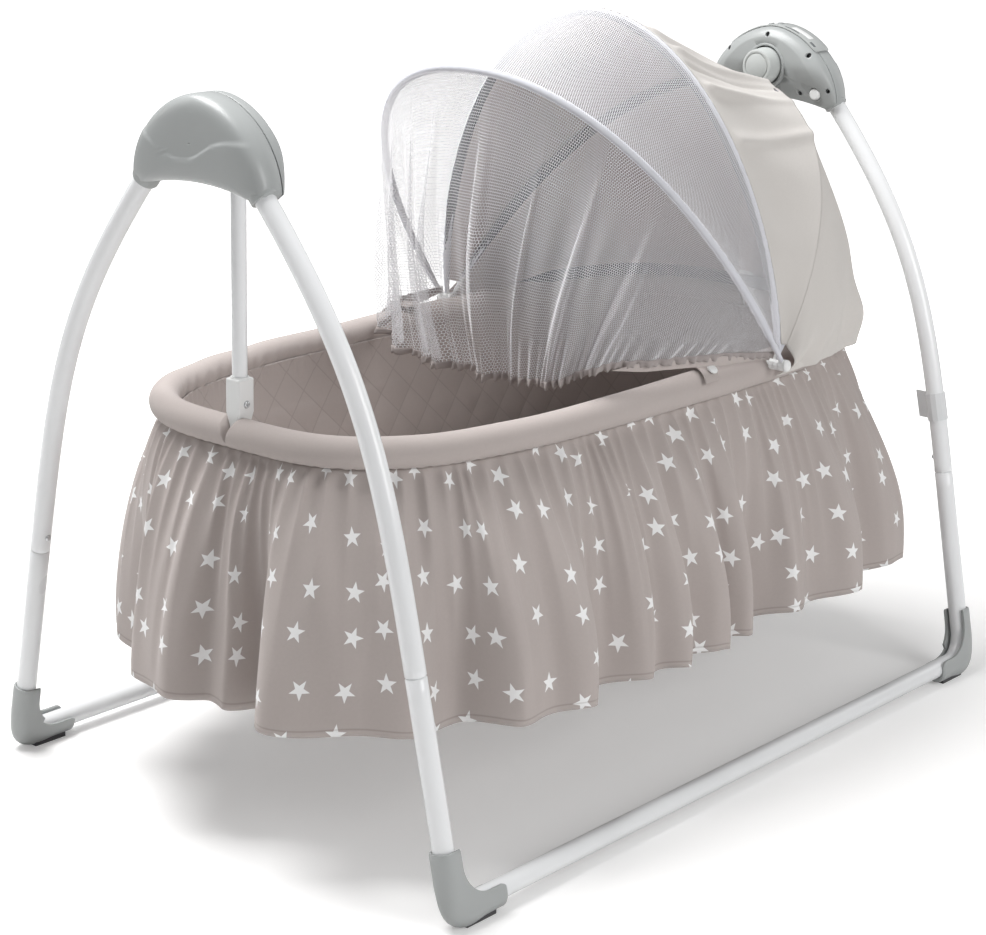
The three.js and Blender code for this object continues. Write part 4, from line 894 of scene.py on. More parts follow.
def dome_plate(name, from_angle, to_angle, start_x, end_x, low, high, rounding):
    """A plate on the dome: a rounded flat section carried from one angle to the other, its ends drawn in."""
    angle = np.linspace(from_angle, to_angle, 64)
    ends = np.minimum(np.arange(64), np.arange(64)[::-1])
    drawn = np.array([1.6, 0.7, 0.25, 0.05])
    tuck = np.where(ends < 4, drawn[np.minimum(ends, 3)], 0) * rounding
    section = [(0, low), (0, high - rounding), (0.3, high - 0.3 * rounding), (1, high)]
    rows = []
    for inset, height in section:
        rows.append((start_x + inset * rounding + tuck, height))
    for inset, height in section[::-1]:
        rows.append((end_x - inset * rounding - tuck, height))
    top = high - 0.6 * tuck
    points = np.stack([dome_place(angle, x, np.minimum(height, top)) for x, height in rows], 1)
    return crisp(outward(grid_object(name, points, loop_columns=True, caps=True)), 40)


panel = dome_plate("control_panel_plate", PANEL_FROM, PANEL_TO, PANEL_START_X, PANEL_END_X, PANEL_LOW,
    PANEL_LOW + PANEL_THICKNESS, 0.0008)
panel_plastic = moulded_plastic("panel_plastic", (0.41, 0.425, 0.42), 0.33, grain=0.1)
painted(panel, panel_plastic)
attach(panel, "stand")
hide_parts("control_panel")
window_plastic = moulded_plastic("smoked_window", (0.16, 0.17, 0.175), 0.2, grain=0.05)
panel_top = PANEL_LOW + PANEL_THICKNESS
panel_plates = {"panel_window": (66, 80, 0.4840, 0.4872, window_plastic),
    "panel_lamp": (50, 55, 0.4840, 0.4890, window_plastic),
    "panel_key_plate": (58, 76, 0.4905, 0.5010, white_plastic)}
for name, (from_angle, to_angle, start_x, end_x, finish) in panel_plates.items():
    piece = dome_plate(name, from_angle, to_angle, start_x, end_x, panel_top - 0.0008, panel_top + 0.0003,
        0.0003)
    painted(piece, finish)
    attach(piece, "stand")
button_rubber = moulded_plastic("button_rubber", (0.36, 0.37, 0.37), 0.55)
for node_name, (degrees, radius) in PANEL_BUTTONS.items():
    foot = dome_place(degrees, BUTTON_X, panel_top - BUTTON_DEPTH)
    tip = dome_place(degrees, BUTTON_X, panel_top + BUTTON_PROUD)
    pressed_button(node_name, foot, tip, radius, 0.001, button_rubber)

# Parts inside the heads: bearings, yoke plates and the drive, which only show with a housing off.
copper = brushed_metal("enamelled_copper", (0.62, 0.30, 0.14), 0.4)
circuit = moulded_plastic("circuit_board_varnish", (0.03, 0.16, 0.08), 0.35, grain=0.4)
repaint(["idle_yoke", "motor_yoke", "idle_bearing", "motor_bearing", "drive_lever", "rim_tube"], steel)
repaint(["drive_coil"], copper)
repaint(["circuit_board"], circuit)
repaint(["speaker", "power_inlet"], rubber)

# Hangers: a straight white tube from each hub, and a white bracket with a pointed foot that straddles the
# rim tube. A cross-head screw holds the bracket to the tube from the front.
HANGER_X = 0.457
HANGER_RADIUS = 0.008
SEAT_HEIGHT = 0.4703
HANGER_TOP = 0.7277
BRACKET_WIDTH = 0.020
BRACKET_DEPTH = 0.022
BRACKET_TOP = 0.493
BRACKET_SHOULDER = 0.457
BRACKET_TIP = 0.430


def bracket_outline(grow=0.0):
    """The bracket seen along X: a column that ends in a point, as (Y, Z) pairs."""
    half = BRACKET_WIDTH / 2 + grow
    top, shoulder = BRACKET_TOP + grow, BRACKET_SHOULDER - grow
    return [(-half, top), (-half, shoulder), (0, BRACKET_TIP - 2 * grow), (half, shoulder), (half, top)]


def slab(name, outline, from_x, to_x):
    """A flat outline in Y and Z carried straight from one X to another."""
    points = np.array([[(x, y, z) for y, z in outline] for x in (from_x, to_x)])
    return outward(grid_object(name, points, loop_columns=True, caps=True))


for end, sign_x in ENDS.items():
    path = np.array([(HANGER_X * sign_x, 0, z) for z in np.linspace(SEAT_HEIGHT, HANGER_TOP, 8)])
    piece = tube(f"{end}_hanger_tube_coated", path, HANGER_RADIUS, (0, 1, 0))
    painted(piece, white_coat)
    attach(piece, "cradle")
    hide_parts(f"{end}_hanger_tube")
    pattern = slab("bracket_pattern", bracket_outline(), HANGER_X - BRACKET_DEPTH / 2,
        HANGER_X + BRACKET_DEPTH / 2)
    softened(pattern, 0.0022, 4)
    piece = mirrored(pattern, f"{end}_rim_bracket_moulded", sign_x, 1)
    bpy.data.objects.remove(pattern)
    painted(piece, white_plastic)
    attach(piece, "cradle")
    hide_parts(f"{end}_rim_bracket")
    neck = sleeve(f"{end}_bracket_neck", (HANGER_X * sign_x, 0, BRACKET_TOP - 0.004),
        (HANGER_X * sign_x, 0, BRACKET_TOP + 0.0012), HANGER_RADIUS + 0.0018, HANGER_RADIUS + 0.0002, 0.0005)
    painted(neck, white_plastic)
    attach(neck, "cradle")
    screw_place = (HANGER_X * sign_x, -BRACKET_WIDTH / 2 - 0.0003, 0.466)
    screw = screw_head(f"{end}_bracket_screw", screw_place, (0, -1, 0), 0.0042)
    painted(screw, steel)
    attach(screw, "cradle")

# Padded rim: a roll of wadding round the rim tube in taupe polyester, notched at both ends for the brackets.
# The cloth puckers along its lower seam and wrinkles across the roll where it is eased round the bends.
RIM_HEIGHT = 0.436
RIM_LENGTH = 0.457
RIM_WIDTH = 0.216
RIM_SQUARENESS = 3.5
PAD_OFFSET = 0.0065
PAD_RADIUS = 0.0165
HOOD_SWELL = 0.002
SWELL_FROM = -0.250
SWELL_TO = 0.100
TAUPE = (0.445, 0.395, 0.376)


def woven_cloth():
    """Plain weave: crossed threads for the bump, slubs, and clouds of colour where the cloth has been
    handled. The vector is the cloth's own flat place, in metres."""
    group, given = effect_group("woven_cloth", {"Vector": (0.0, 0.0, 0.0), "Colour": (0.5, 0.5, 0.5, 1.0),
        "Tint": 0.07, "Roughness": 0.85, "Threads": 420.0, "Cloud Scale": 9.0},
        {"Colour": "NodeSocketColor", "Roughness": "NodeSocketFloat", "Height": "NodeSocketFloat"})
    warp = node(group, "TexWave", {"bands_direction": "X"}, {"Vector": (given, "Vector"),
        "Scale": (given, "Threads"), "Distortion": 0.6})
    weft = node(group, "TexWave", {"bands_direction": "Y"}, {"Vector": (given, "Vector"),
        "Scale": (given, "Threads"), "Distortion": 0.6})
    threads = math_node(group, "MULTIPLY", (warp, "Fac"), (weft, "Fac"))
    cloud = node(group, "TexNoise", inputs={"Vector": (given, "Vector"), "Scale": (given, "Cloud Scale"),
        "Detail": 5.0, "Roughness": 0.6})
    slub = node(group, "TexNoise", inputs={"Vector": (given, "Vector"), "Scale": 260.0, "Detail": 3.0})
    both = math_node(group, "ADD", (cloud, "Fac"), (slub, "Fac"))
    spread = math_node(group, "SUBTRACT", (both, "Value"), 1.0)
    shade = math_node(group, "MULTIPLY_ADD", (spread, "Value"), (given, "Tint"), 1.0)
    tint = node(group, "VectorMath", {"operation": "SCALE"}, {"Vector": (given, "Colour"),
        "Scale": (shade, "Value")})
    gloss = math_node(group, "MULTIPLY_ADD", (spread, "Value"), 0.1, (given, "Roughness"))
    height = math_node(group, "MULTIPLY_ADD", (slub, "Fac"), 0.5, (threads, "Value"))
    node(group, "NodeGroupOutput", inputs={"Colour": (tint, "Vector"), "Roughness": (gloss, "Value"),
        "Height": (height, "Value")})
    return group


WOVEN_CLOTH = woven_cloth()


def cloth_material(name, colour, threads=420.0, bump=0.35, coordinates="UV"):
    return finished_material(name, WOVEN_CLOTH, {"Colour": (*colour, 1), "Threads": threads}, {
        "Sheen Weight": 0.15, "Sheen Roughness": 0.5, "Specular IOR Level": 0.25}, bump, 0.0003,
        coordinates)


def oval(share):
    """Places spaced evenly round the rim tube's superellipse, and the outward direction at each, in X and Y.
    A share of 0 is at the motor end and 0.25 at the back."""
    angle = np.linspace(0, 2 * math.pi, 8001)
    power = 2 / RIM_SQUARENESS
    x = RIM_LENGTH * np.sign(np.cos(angle)) * np.abs(np.cos(angle)) ** power
    y = RIM_WIDTH * np.sign(np.sin(angle)) * np.abs(np.sin(angle)) ** power
    walked = np.concatenate([[0], np.cumsum(np.hypot(np.diff(x), np.diff(y)))])
    share = np.mod(share, 1) * walked[-1]
    place = np.column_stack([np.interp(share, walked, x), np.interp(share, walked, y)])
    slope = np.sign(place) * np.abs(place / (RIM_LENGTH, RIM_WIDTH)) ** (RIM_SQUARENESS - 1)
    slope /= (RIM_LENGTH, RIM_WIDTH)
    return place, units(slope)


RIM_GIRTH = 2.3595


def wander(share, count, seed, jitter=0.45, least=0.35):
    """A wave of count crests round the rim, from -1 to 1, whose spacing and height wander.
    It is the cosine of a phase that gains one turn from each crest to the next."""
    chance = np.random.default_rng(seed)
    gaps = 1 + jitter * (2 * chance.random(count) - 1)
    knots = np.concatenate([[0], np.cumsum(gaps)]) / gaps.sum()
    height = least + (1 - least) * chance.random(count)
    height = np.append(height, height[0])
    share = np.mod(share, 1)
    turns = np.interp(share, knots, np.arange(count + 1))
    return np.interp(share, knots, height) * np.cos(2 * math.pi * turns)


def pad_radius(x):
    return PAD_RADIUS + HOOD_SWELL * smoothstep(x, SWELL_FROM, SWELL_TO)


def near(share, centre, width):
    """A hump of 1 at a share of the rim, that fades over a width of it."""
    gap = np.abs(np.mod(share - centre + 0.5, 1) - 0.5)
    return np.exp(-((gap / width) ** 2))


def padded_rim():
    """At each place round the rim, a circle of the wadding's radius, dented by wrinkles that cross it, and
    puckered under its lower seam."""
    share = np.linspace(0, 1, 720, endpoint=False)
    place, out = oval(share)
    turn = full_turn(56)[None, :]
    s = share[:, None]
    below = np.exp(-(((turn - 1.5 * math.pi) / 0.5) ** 2))
    inside = np.exp(-(((turn - 1.05 * math.pi) / 0.7) ** 2))
    slant = s + 0.004 * np.sin(turn)
    eased = 0.35 + near(s, 0.44, 0.05) + 0.8 * near(s, 0.36, 0.05)
    eased = eased + 0.6 * near(s, 0.56, 0.03) + 0.5 * near(s, 0.94, 0.05)
    dent = 0.0010 * below * wander(s, 200, 5)
    dent = dent + 0.0011 * inside * eased * wander(slant, 110, 7)
    dent = dent + 0.0012 * wander(s, 17, 11) * np.cos(turn - 0.6)
    reach = pad_radius(place[:, :1]) + dent
    offset = PAD_OFFSET + reach * np.cos(turn)
    outer = np.stack([place[:, :1] + offset * out[:, :1], place[:, 1:] + offset * out[:, 1:],
        RIM_HEIGHT + reach * np.sin(turn)], -1)
    along = np.linspace(0, RIM_GIRTH, len(share) + 1)
    round_it = np.linspace(0, 2 * math.pi * PAD_RADIUS, turn.size + 1)
    uv = np.stack(np.meshgrid(along, round_it, indexing="ij"), -1)
    return outward(grid_object("padded_rim_cover", outer, loop_rows=True, loop_columns=True, uv=uv))


taupe_cloth = cloth_material("taupe_polyester", TAUPE)
rim_cover = padded_rim()
notches = []
for sign_x in (-1, 1):
    low_x, high_x = sorted((0.440 * sign_x, 0.492 * sign_x))
    notches.append(slab("notch", bracket_outline(0.0012), low_x, high_x))
with_holes(rim_cover, notches)
painted(rim_cover, taupe_cloth)
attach(rim_cover, "cradle")
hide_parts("rim_cover")

# Lining: a quilted tub of taupe cloth sewn to the rim's inner seam. Its stitches cross in diamonds and the
# wadding swells between them.
SLIT_ANGLE = math.radians(200)
TUB_WALL = 0.003
TUB_MIDDLE_OFFSET = -0.024
TUB_MIDDLE_HEIGHT = 0.340
TUB_FLOOR_OFFSET = -0.046
TUB_FLOOR_HEIGHT = 0.250
DIAMOND = 0.052
QUILT_PUFF = 0.0016
QUILT_TOP = 0.66


def quilt(u, v, spacing, roundness):
    """Wadding between two crossing rows of stitches: the height is the product of two rounded humps, which
    is nought on every stitch line."""
    first = np.abs(np.sin(math.pi * (u + v) / spacing))
    second = np.abs(np.sin(math.pi * (u - v) / spacing))
    return (first * second) ** roundness


def tub_side(height, seam_offset):
    """The tub's offset from the rim at a height: it widens smoothly from floor to middle to seam."""
    lower = TUB_FLOOR_OFFSET + (TUB_MIDDLE_OFFSET - TUB_FLOOR_OFFSET) * smoothstep(
        height, TUB_FLOOR_HEIGHT - 0.02, TUB_MIDDLE_HEIGHT + 0.03)
    return lower + (seam_offset - TUB_MIDDLE_OFFSET) * smoothstep(height, TUB_MIDDLE_HEIGHT - 0.02,
        RIM_HEIGHT)


def quilted_tub():
    """The inner skin runs from the floor up to the rim and is quilted; the outer one runs back down."""
    share = np.linspace(0, 1, 720, endpoint=False)
    place, out = oval(share)
    reach = pad_radius(place[:, 0])
    seam_offset = PAD_OFFSET + reach * math.cos(SLIT_ANGLE) - 0.0006
    seam_height = RIM_HEIGHT + reach * math.sin(SLIT_ANGLE) + 0.0006
    rows = []
    rise = np.linspace(0, 1, 90)
    for t in rise:
        height = TUB_FLOOR_HEIGHT + TUB_WALL + t * (seam_height - TUB_FLOOR_HEIGHT - TUB_WALL)
        offset = tub_side(height, seam_offset)
        quilted = smoothstep(t, 0, 0.08) * (1 - smoothstep(t, QUILT_TOP, QUILT_TOP + 0.06))
        puff = QUILT_PUFF * quilt(share * RIM_GIRTH, height, DIAMOND, 0.45) * quilted
        tuck = 0.0012 * wander(share, 210, 21) * smoothstep(t, 0.8, 0.97)
        rows.append((offset - TUB_WALL * 0.4 - puff + tuck, height))
    for t in rise[::-6]:
        height = TUB_FLOOR_HEIGHT + t * (seam_height - TUB_FLOOR_HEIGHT)
        rows.append((tub_side(height, seam_offset) + 0.0003, height))
    points = np.stack([np.column_stack([place + np.reshape(offset, (-1, 1)) * out,
        np.broadcast_to(height, len(share))]) for offset, height in rows])
    heights = [np.mean(height) for offset, height in rows]
    along = np.linspace(0, RIM_GIRTH, len(share) + 1)
    uv = np.stack(np.meshgrid(heights, along, indexing="ij")[::-1], -1)
    return outward(grid_object("quilted_lining", points, loop_columns=True, caps=True, uv=uv))


def stitched(name, colour, spacing):
    """The taupe cloth with rows of stitches where two sets of crossing lines run over its flat place."""
    made = cloth_material(name, colour)
    tree = made.node_tree
    place = node(tree, "TexCoord")
    split = node(tree, "SeparateXYZ", inputs={"Vector": (place, "UV")})
    lines = []
    for operation in ("ADD", "SUBTRACT"):
        mixed = math_node(tree, operation, (split, "X"), (split, "Y"))
        turned_place = math_node(tree, "PINGPONG", (mixed, "Value"), spacing / 2)
        near_line = node(tree, "MapRange", inputs={"Value": (turned_place, "Value"),
            "From Min": 0.0005, "From Max": 0.0016, "To Min": 1.0, "To Max": 0.0})
        lines.append(near_line)
    either = math_node(tree, "MAXIMUM", (lines[0], "Result"), (lines[1], "Result"))
    shader = next(n for n in tree.nodes if n.type == "BSDF_PRINCIPLED")
    colour_link = shader.inputs["Base Color"].links[0]
    darker = node(tree, "Mix", {"data_type": "RGBA", "blend_type": "MULTIPLY"},
        {"Factor": (either, "Value"), "B": (0.86, 0.855, 0.85, 1)})
    tree.links.new(colour_link.from_socket, darker.inputs["A"])
    tree.links.new(darker.outputs["Result"], shader.inputs["Base Color"])
    return made


lining = quilted_tub()
painted(lining, stitched("quilted_taupe", TAUPE, DIAMOND))
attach(lining, "cradle")
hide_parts("basket_tub")
repaint(["base_board"], moulded_plastic("fibreboard", (0.42, 0.30, 0.17), 0.7, grain=0.8))

# Mattress: a thin foam pad in a taupe cover, loose on its board. The cover is blown up by a short cloth
# simulation, and the quilting is pressed in afterwards.
MATTRESS_LOW = 0.2596
MATTRESS_HEIGHT = 0.034
MATTRESS_INSET = 0.003
EDGE_ROUND = 0.006
SWELL_CAP = 0.006
VOXEL = 0.006


def tub_offset(height):
    share = (height - TUB_FLOOR_HEIGHT - TUB_WALL) / (TUB_MIDDLE_HEIGHT - TUB_FLOOR_HEIGHT - TUB_WALL)
    return TUB_FLOOR_OFFSET + (TUB_MIDDLE_OFFSET - TUB_FLOOR_OFFSET) * share - TUB_WALL


def mattress_core():
    """Rings of the rim's outline, drawn in by more at the top and bottom edges, closed by rings to the
    middle."""
    share = np.linspace(0, 1, 240, endpoint=False)
    place, out = oval(share)
    low = MATTRESS_LOW + 0.001
    top = MATTRESS_LOW + MATTRESS_HEIGHT - 0.003
    side = tub_offset(MATTRESS_LOW) - MATTRESS_INSET - 0.004
    profile = [(side - 0.16, low), (side - 0.08, low), (side - EDGE_ROUND, low),
        (side, MATTRESS_LOW + EDGE_ROUND), (side, top - EDGE_ROUND), (side - EDGE_ROUND, top),
        (side - 0.08, top + 0.001), (side - 0.16, top + 0.001)]
    points = np.stack([np.column_stack([place + offset * out, np.full(len(share), height)])
        for offset, height in profile])
    return outward(grid_object("mattress_core", points, loop_columns=True, caps=True))


def blown_up(core, name, pressure, cap, frames=20):
    """A padded skin from a closed core: remeshed, inflated by the cloth solver with gravity off, and held
    to a largest distance from where each point began."""
    skin = bpy.data.objects.new(name, core.data.copy())
    scene.collection.objects.link(skin)
    remesh = skin.modifiers.new("remesh", "REMESH")
    remesh.mode = "VOXEL"
    remesh.voxel_size = VOXEL
    applied(skin)
    began = triples(skin.data.vertices, "co")
    cloth = skin.modifiers.new("cloth", "CLOTH")
    cloth.settings.quality = 5
    cloth.settings.mass = 0.3
    cloth.settings.use_pressure = True
    cloth.settings.uniform_pressure_force = pressure
    cloth.settings.effector_weights.gravity = 0
    cloth.settings.tension_stiffness = 12
    cloth.settings.compression_stiffness = 12
    cloth.settings.bending_stiffness = 0.6
    cloth.point_cache.frame_start = 1
    cloth.point_cache.frame_end = frames
    for step in range(1, frames + 1):
        scene.frame_set(step)
    applied(skin)
    scene.frame_set(1)
    move = triples(skin.data.vertices, "co") - began
    length = np.linalg.norm(move, axis=1, keepdims=True)
    kept = move * np.minimum(1, cap / np.maximum(length, 1e-9))
    skin.data.vertices.foreach_set("co", (began + kept).ravel())
    smooth = skin.modifiers.new("smooth", "SMOOTH")
    smooth.factor = 0.5
    smooth.iterations = 4
    finer = skin.modifiers.new("finer", "SUBSURF")
    finer.levels = 1
    finer.render_levels = 1
    applied(skin)
    skin.data.shade_smooth()
    bpy.data.objects.remove(core)
    return skin


def press_quilting(piece, spacing, depth):
    """Presses rows of stitches that cross in diamonds into the piece's top, and flattens its underside."""
    place = triples(piece.data.vertices, "co")
    top = smoothstep(place[:, 2], MATTRESS_LOW + MATTRESS_HEIGHT * 0.6, MATTRESS_LOW + MATTRESS_HEIGHT * 0.95)
    place[:, 2] -= depth * top * (1 - quilt(place[:, 0], place[:, 1], spacing, 0.4))
    place[:, 2] = np.maximum(place[:, 2], MATTRESS_LOW)
    piece.data.vertices.foreach_set("co", place.ravel())
    piece.data.update()


mattress = blown_up(mattress_core(), "mattress_quilted", 4, SWELL_CAP)
press_quilting(mattress, 0.060, 0.0025)
painted(mattress, cloth_material("mattress_cover", (0.50, 0.455, 0.43), coordinates="Object"))
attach(mattress, "cradle")
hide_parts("mattress")

# Star skirt: a gathered flounce of printed taupe polyester, sewn under the padded rim with many small
# gathers that open into deep, uneven folds. Its hem is turned up once and stitched.
SKIRT_TOP_OFFSET = 0.009
SKIRT_HEM_HEIGHT = 0.162
# Crests and hollows of the hem's folds along the front, as a share of the way round and a distance out
FRONT_FOLDS = (
    (0.402, 0.085), (0.423, 0.068), (0.440, 0.036), (0.463, 0.072), (0.486, 0.086), (0.5005, 0.055),
    (0.509, 0.056), (0.518, 0.022), (0.539, 0.102), (0.560, 0.070), (0.574, 0.088), (0.592, 0.050),
    (0.609, 0.110), (0.626, 0.096), (0.641, 0.114), (0.662, 0.060), (0.684, 0.094), (0.693, 0.084),
    (0.706, 0.106), (0.719, 0.078), (0.738, 0.104), (0.751, 0.072), (0.762, 0.092), (0.787, 0.046),
    (0.806, 0.088), (0.820, 0.078), (0.849, 0.112), (0.869, 0.074), (0.898, 0.112), (0.918, 0.070),
)
SKIRT_GATHERS = 128
STAR_PITCH = 0.053
STAR_RADIUS = 0.0116
STAR_HOLLOW = 0.40
HEM_FOLD = 0.007


def hem_folds(share):
    """How far out the hem stands: smooth half waves between crests and hollows, listed at the front
    and set by a seeded draw behind."""
    chance = np.random.default_rng(17)
    knots = [list(fold) for fold in FRONT_FOLDS]
    walk = FRONT_FOLDS[-1][0]
    crest = True
    while walk < FRONT_FOLDS[0][0] + 1 - 0.03:
        walk += 0.013 + 0.012 * chance.random()
        draw = chance.random()
        knots.append([walk, 0.098 + 0.012 * draw if crest else 0.055 + 0.022 * draw])
        crest = not crest
    if not crest:
        knots.append([FRONT_FOLDS[0][0] + 1 - 0.012, 0.060])
    knots = np.array(knots + [[FRONT_FOLDS[0][0] + 1, FRONT_FOLDS[0][1]]])
    share = np.mod(share - knots[0, 0], 1) + knots[0, 0]
    index = np.clip(np.searchsorted(knots[:, 0], share, side="right") - 1, 0, len(knots) - 2)
    low, high = knots[index], knots[index + 1]
    part = (share - low[:, 0]) / (high[:, 0] - low[:, 0])
    return low[:, 1] + (high[:, 1] - low[:, 1]) * (1 - np.cos(math.pi * part)) / 2


def star_skirt():
    """Rows from the seam to the hem. Each row is offset from the rim by a flare that opens downward, plus
    the hem's folds, which fade in with the drop, and the gathers, which fade out."""
    share = np.linspace(0, 1, 1440, endpoint=False)
    place, out = oval(share)
    reach = pad_radius(place[:, 0])
    top_height = RIM_HEIGHT - reach * 0.93
    folds = hem_folds(share)
    mean = 0.088
    drops = np.concatenate([np.linspace(0, 0.12, 10)[:-1], np.linspace(0.12, 1, 46)])
    rows = []
    for drop in drops:
        lean = 0.0035 * math.sin(2.2 * drop)
        flare = SKIRT_TOP_OFFSET + (mean - SKIRT_TOP_OFFSET) * (1 - (1 - drop) ** 1.9)
        leaned = np.interp(np.mod(share - lean + 1, 1), share, folds, period=1)
        fold = (leaned - mean) * smoothstep(drop, -0.08, 0.8) ** 1.1
        small = 0.0062 * wander(share - lean, 46, 31) * smoothstep(drop, 0.02, 0.3) * (1 - 0.6 * drop)
        pinch = 1 - 2 * np.abs(wander(share, SKIRT_GATHERS // 2, 37, least=0.5))
        gather = 0.0050 * pinch * smoothstep(drop, 0, 0.05) * (1 - drop) ** 2
        creases = 0.0022 * wander(share + lean, 83, 41) * math.sin(math.pi * drop) ** 0.7
        offset = flare + fold + small + gather + creases
        height = top_height + (SKIRT_HEM_HEIGHT - top_height) * drop
        height = height + 0.005 * (folds - mean) / 0.03 * drop**3
        rows.append(np.column_stack([place + offset[:, None] * out, height]))
    points = np.stack(rows)
    hem = np.vstack([points[-1], points[-1][:1]])
    along = distance_along(hem)
    down = np.linalg.norm(np.diff(points, axis=0), axis=2).mean(axis=1)
    down = np.concatenate([[0], np.cumsum(down)])
    uv = np.stack(np.meshgrid(down, along, indexing="ij")[::-1], -1)
    piece = grid_object("star_skirt_printed", points, loop_columns=True, uv=uv)
    faces_from(piece, (0, 0, 0.3))
    return piece, along[-1], down[-1]


def star_print():
    """White five-pointed stars, each turned its own way, at wandering places on a grid.
    A point is in a star when it lies inside the straight edge from the nearest tip to the next hollow:
    with the angle folded into a tenth of a turn, a straight line in angle and distance."""
    group, given = effect_group("star_print", {"Vector": (0.0, 0.0, 0.0), "Pitch": 0.05, "Radius": 0.0125,
        "Hollow": 0.42, "Wander": 0.5}, {"Mask": "NodeSocketFloat"})
    cells = node(group, "VectorMath", {"operation": "DIVIDE"}, {0: (given, "Vector")})
    pitch = node(group, "CombineXYZ", inputs={"X": (given, "Pitch"), "Y": (given, "Pitch"), "Z": 1.0})
    group.links.new(pitch.outputs["Vector"], cells.inputs[1])
    scatter = node(group, "TexVoronoi", {"voronoi_dimensions": "2D", "feature": "F1"}, {
        "Vector": (cells, "Vector"), "Scale": 1.0, "Randomness": (given, "Wander")})
    local = node(group, "VectorMath", {"operation": "SUBTRACT"}, {0: (cells, "Vector"),
        1: (scatter, "Position")})
    parts = node(group, "SeparateXYZ", inputs={"Vector": (local, "Vector")})
    chance = node(group, "SeparateColor", inputs={"Color": (scatter, "Color")})
    distance = node(group, "VectorMath", {"operation": "LENGTH"}, {0: (local, "Vector")})
    metres = math_node(group, "MULTIPLY", (distance, "Value"), (given, "Pitch"))
    heading = math_node(group, "ARCTAN2", (parts, "Y"), (parts, "X"))
    turned_by = math_node(group, "MULTIPLY_ADD", (chance, "Red"), 2 * math.pi, (heading, "Value"))
    folded = math_node(group, "PINGPONG", (turned_by, "Value"), math.pi / 5)
    across = math_node(group, "SINE", (folded, "Value"))
    ahead = math_node(group, "COSINE", (folded, "Value"))
    hollow_side = math_node(group, "MULTIPLY", (given, "Hollow"), math.sin(math.pi / 5))
    hollow_ahead = math_node(group, "MULTIPLY_ADD", (given, "Hollow"), -math.cos(math.pi / 5), 1.0)
    edge_a = math_node(group, "MULTIPLY", (ahead, "Value"), (hollow_side, "Value"))
    edge = math_node(group, "MULTIPLY_ADD", (across, "Value"), (hollow_ahead, "Value"), (edge_a, "Value"))
    here = math_node(group, "MULTIPLY", (edge, "Value"), (metres, "Value"))
    limit = math_node(group, "MULTIPLY", (hollow_side, "Value"), (given, "Radius"))
    inside = math_node(group, "SUBTRACT", (limit, "Value"), (here, "Value"))
    mask = node(group, "MapRange", inputs={"Value": (inside, "Value"), "From Min": -0.0001,
        "From Max": 0.0001})
    node(group, "NodeGroupOutput", inputs={"Mask": (mask, "Result")})
    return group


def printed_cloth(drop_length):
    """The taupe cloth with its stars in soft white ink, and the hem's stitch line."""
    made = cloth_material("star_print_cloth", TAUPE)
    tree = made.node_tree
    place = node(tree, "TexCoord")
    stars = node(tree, "Group", {"node_tree": star_print()}, {"Vector": (place, "UV"),
        "Pitch": STAR_PITCH, "Radius": STAR_RADIUS, "Hollow": STAR_HOLLOW, "Wander": 0.55})
    split = node(tree, "SeparateXYZ", inputs={"Vector": (place, "UV")})
    from_hem = math_node(tree, "SUBTRACT", drop_length - HEM_FOLD, (split, "Y"))
    apart = math_node(tree, "ABSOLUTE", (from_hem, "Value"))
    stitch = node(tree, "MapRange", inputs={"Value": (apart, "Value"), "From Min": 0.0004,
        "From Max": 0.0014, "To Min": 0.45, "To Max": 0.0})
    shader = next(n for n in tree.nodes if n.type == "BSDF_PRINCIPLED")
    colour = shader.inputs["Base Color"].links[0].from_socket
    inked = node(tree, "Mix", {"data_type": "RGBA"},
        {"Factor": (stars, "Mask"), "B": (0.86, 0.86, 0.86, 1)})
    tree.links.new(colour, inked.inputs["A"])
    sewn = node(tree, "Mix", {"data_type": "RGBA", "blend_type": "MULTIPLY"},
        {"Factor": (stitch, "Result"), "A": (inked, "Result"), "B": (0.55, 0.52, 0.50, 1)})
    tree.links.new(sewn.outputs["Result"], shader.inputs["Base Color"])
    return made


def thickened(piece, thickness, offset=-1.0, inner_slot=0):
    """Gives a sheet its thickness, and its inner side the material of a slot."""
    wall = piece.modifiers.new("thickness", "SOLIDIFY")
    wall.thickness = thickness
    wall.offset = offset
    wall.material_offset = inner_slot
    return applied(piece)


skirt, skirt_width, skirt_drop = star_skirt()
painted(skirt, printed_cloth(skirt_drop))
thickened(skirt, 0.0007)
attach(skirt, "cradle")
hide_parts("star_skirt")

# Bows: three bent rods on one pivot, each in a sewn tunnel of cloth. The tunnels of the middle and the net
# bow are light grey and stand proud as a round welt.
PIVOT_X = 0.150
PIVOT_HEIGHT = 0.446
PIVOT = (PIVOT_X, 0, PIVOT_HEIGHT)
BOWS = {
    "rear_bow": {"tilt": -41, "height": 0.376, "spread": 0.245, "squareness": 2},
    "main_bow": {"tilt": 6, "height": 0.383, "spread": 0.2516, "squareness": 1.95},
    "net_bow": {"tilt": 38, "height": 0.421, "spread": 0.2582, "squareness": 2.2},
}
BOW_BODIES = {"rear_bow": "rear_hood_bow", "main_bow": "main_hood_bow", "net_bow": "net_hood_bow"}
WELT_RADII = {"rear_bow": 0.0038, "main_bow": 0.0048, "net_bow": 0.0046}
TAPE_WIDTH = 0.018
TAPE_DEPTH = 0.0078


def bow_axes(bow):
    tilt = math.radians(bow["tilt"])
    return np.array((-math.sin(tilt), 0, math.cos(tilt))), np.array((-math.cos(tilt), 0, -math.sin(tilt)))


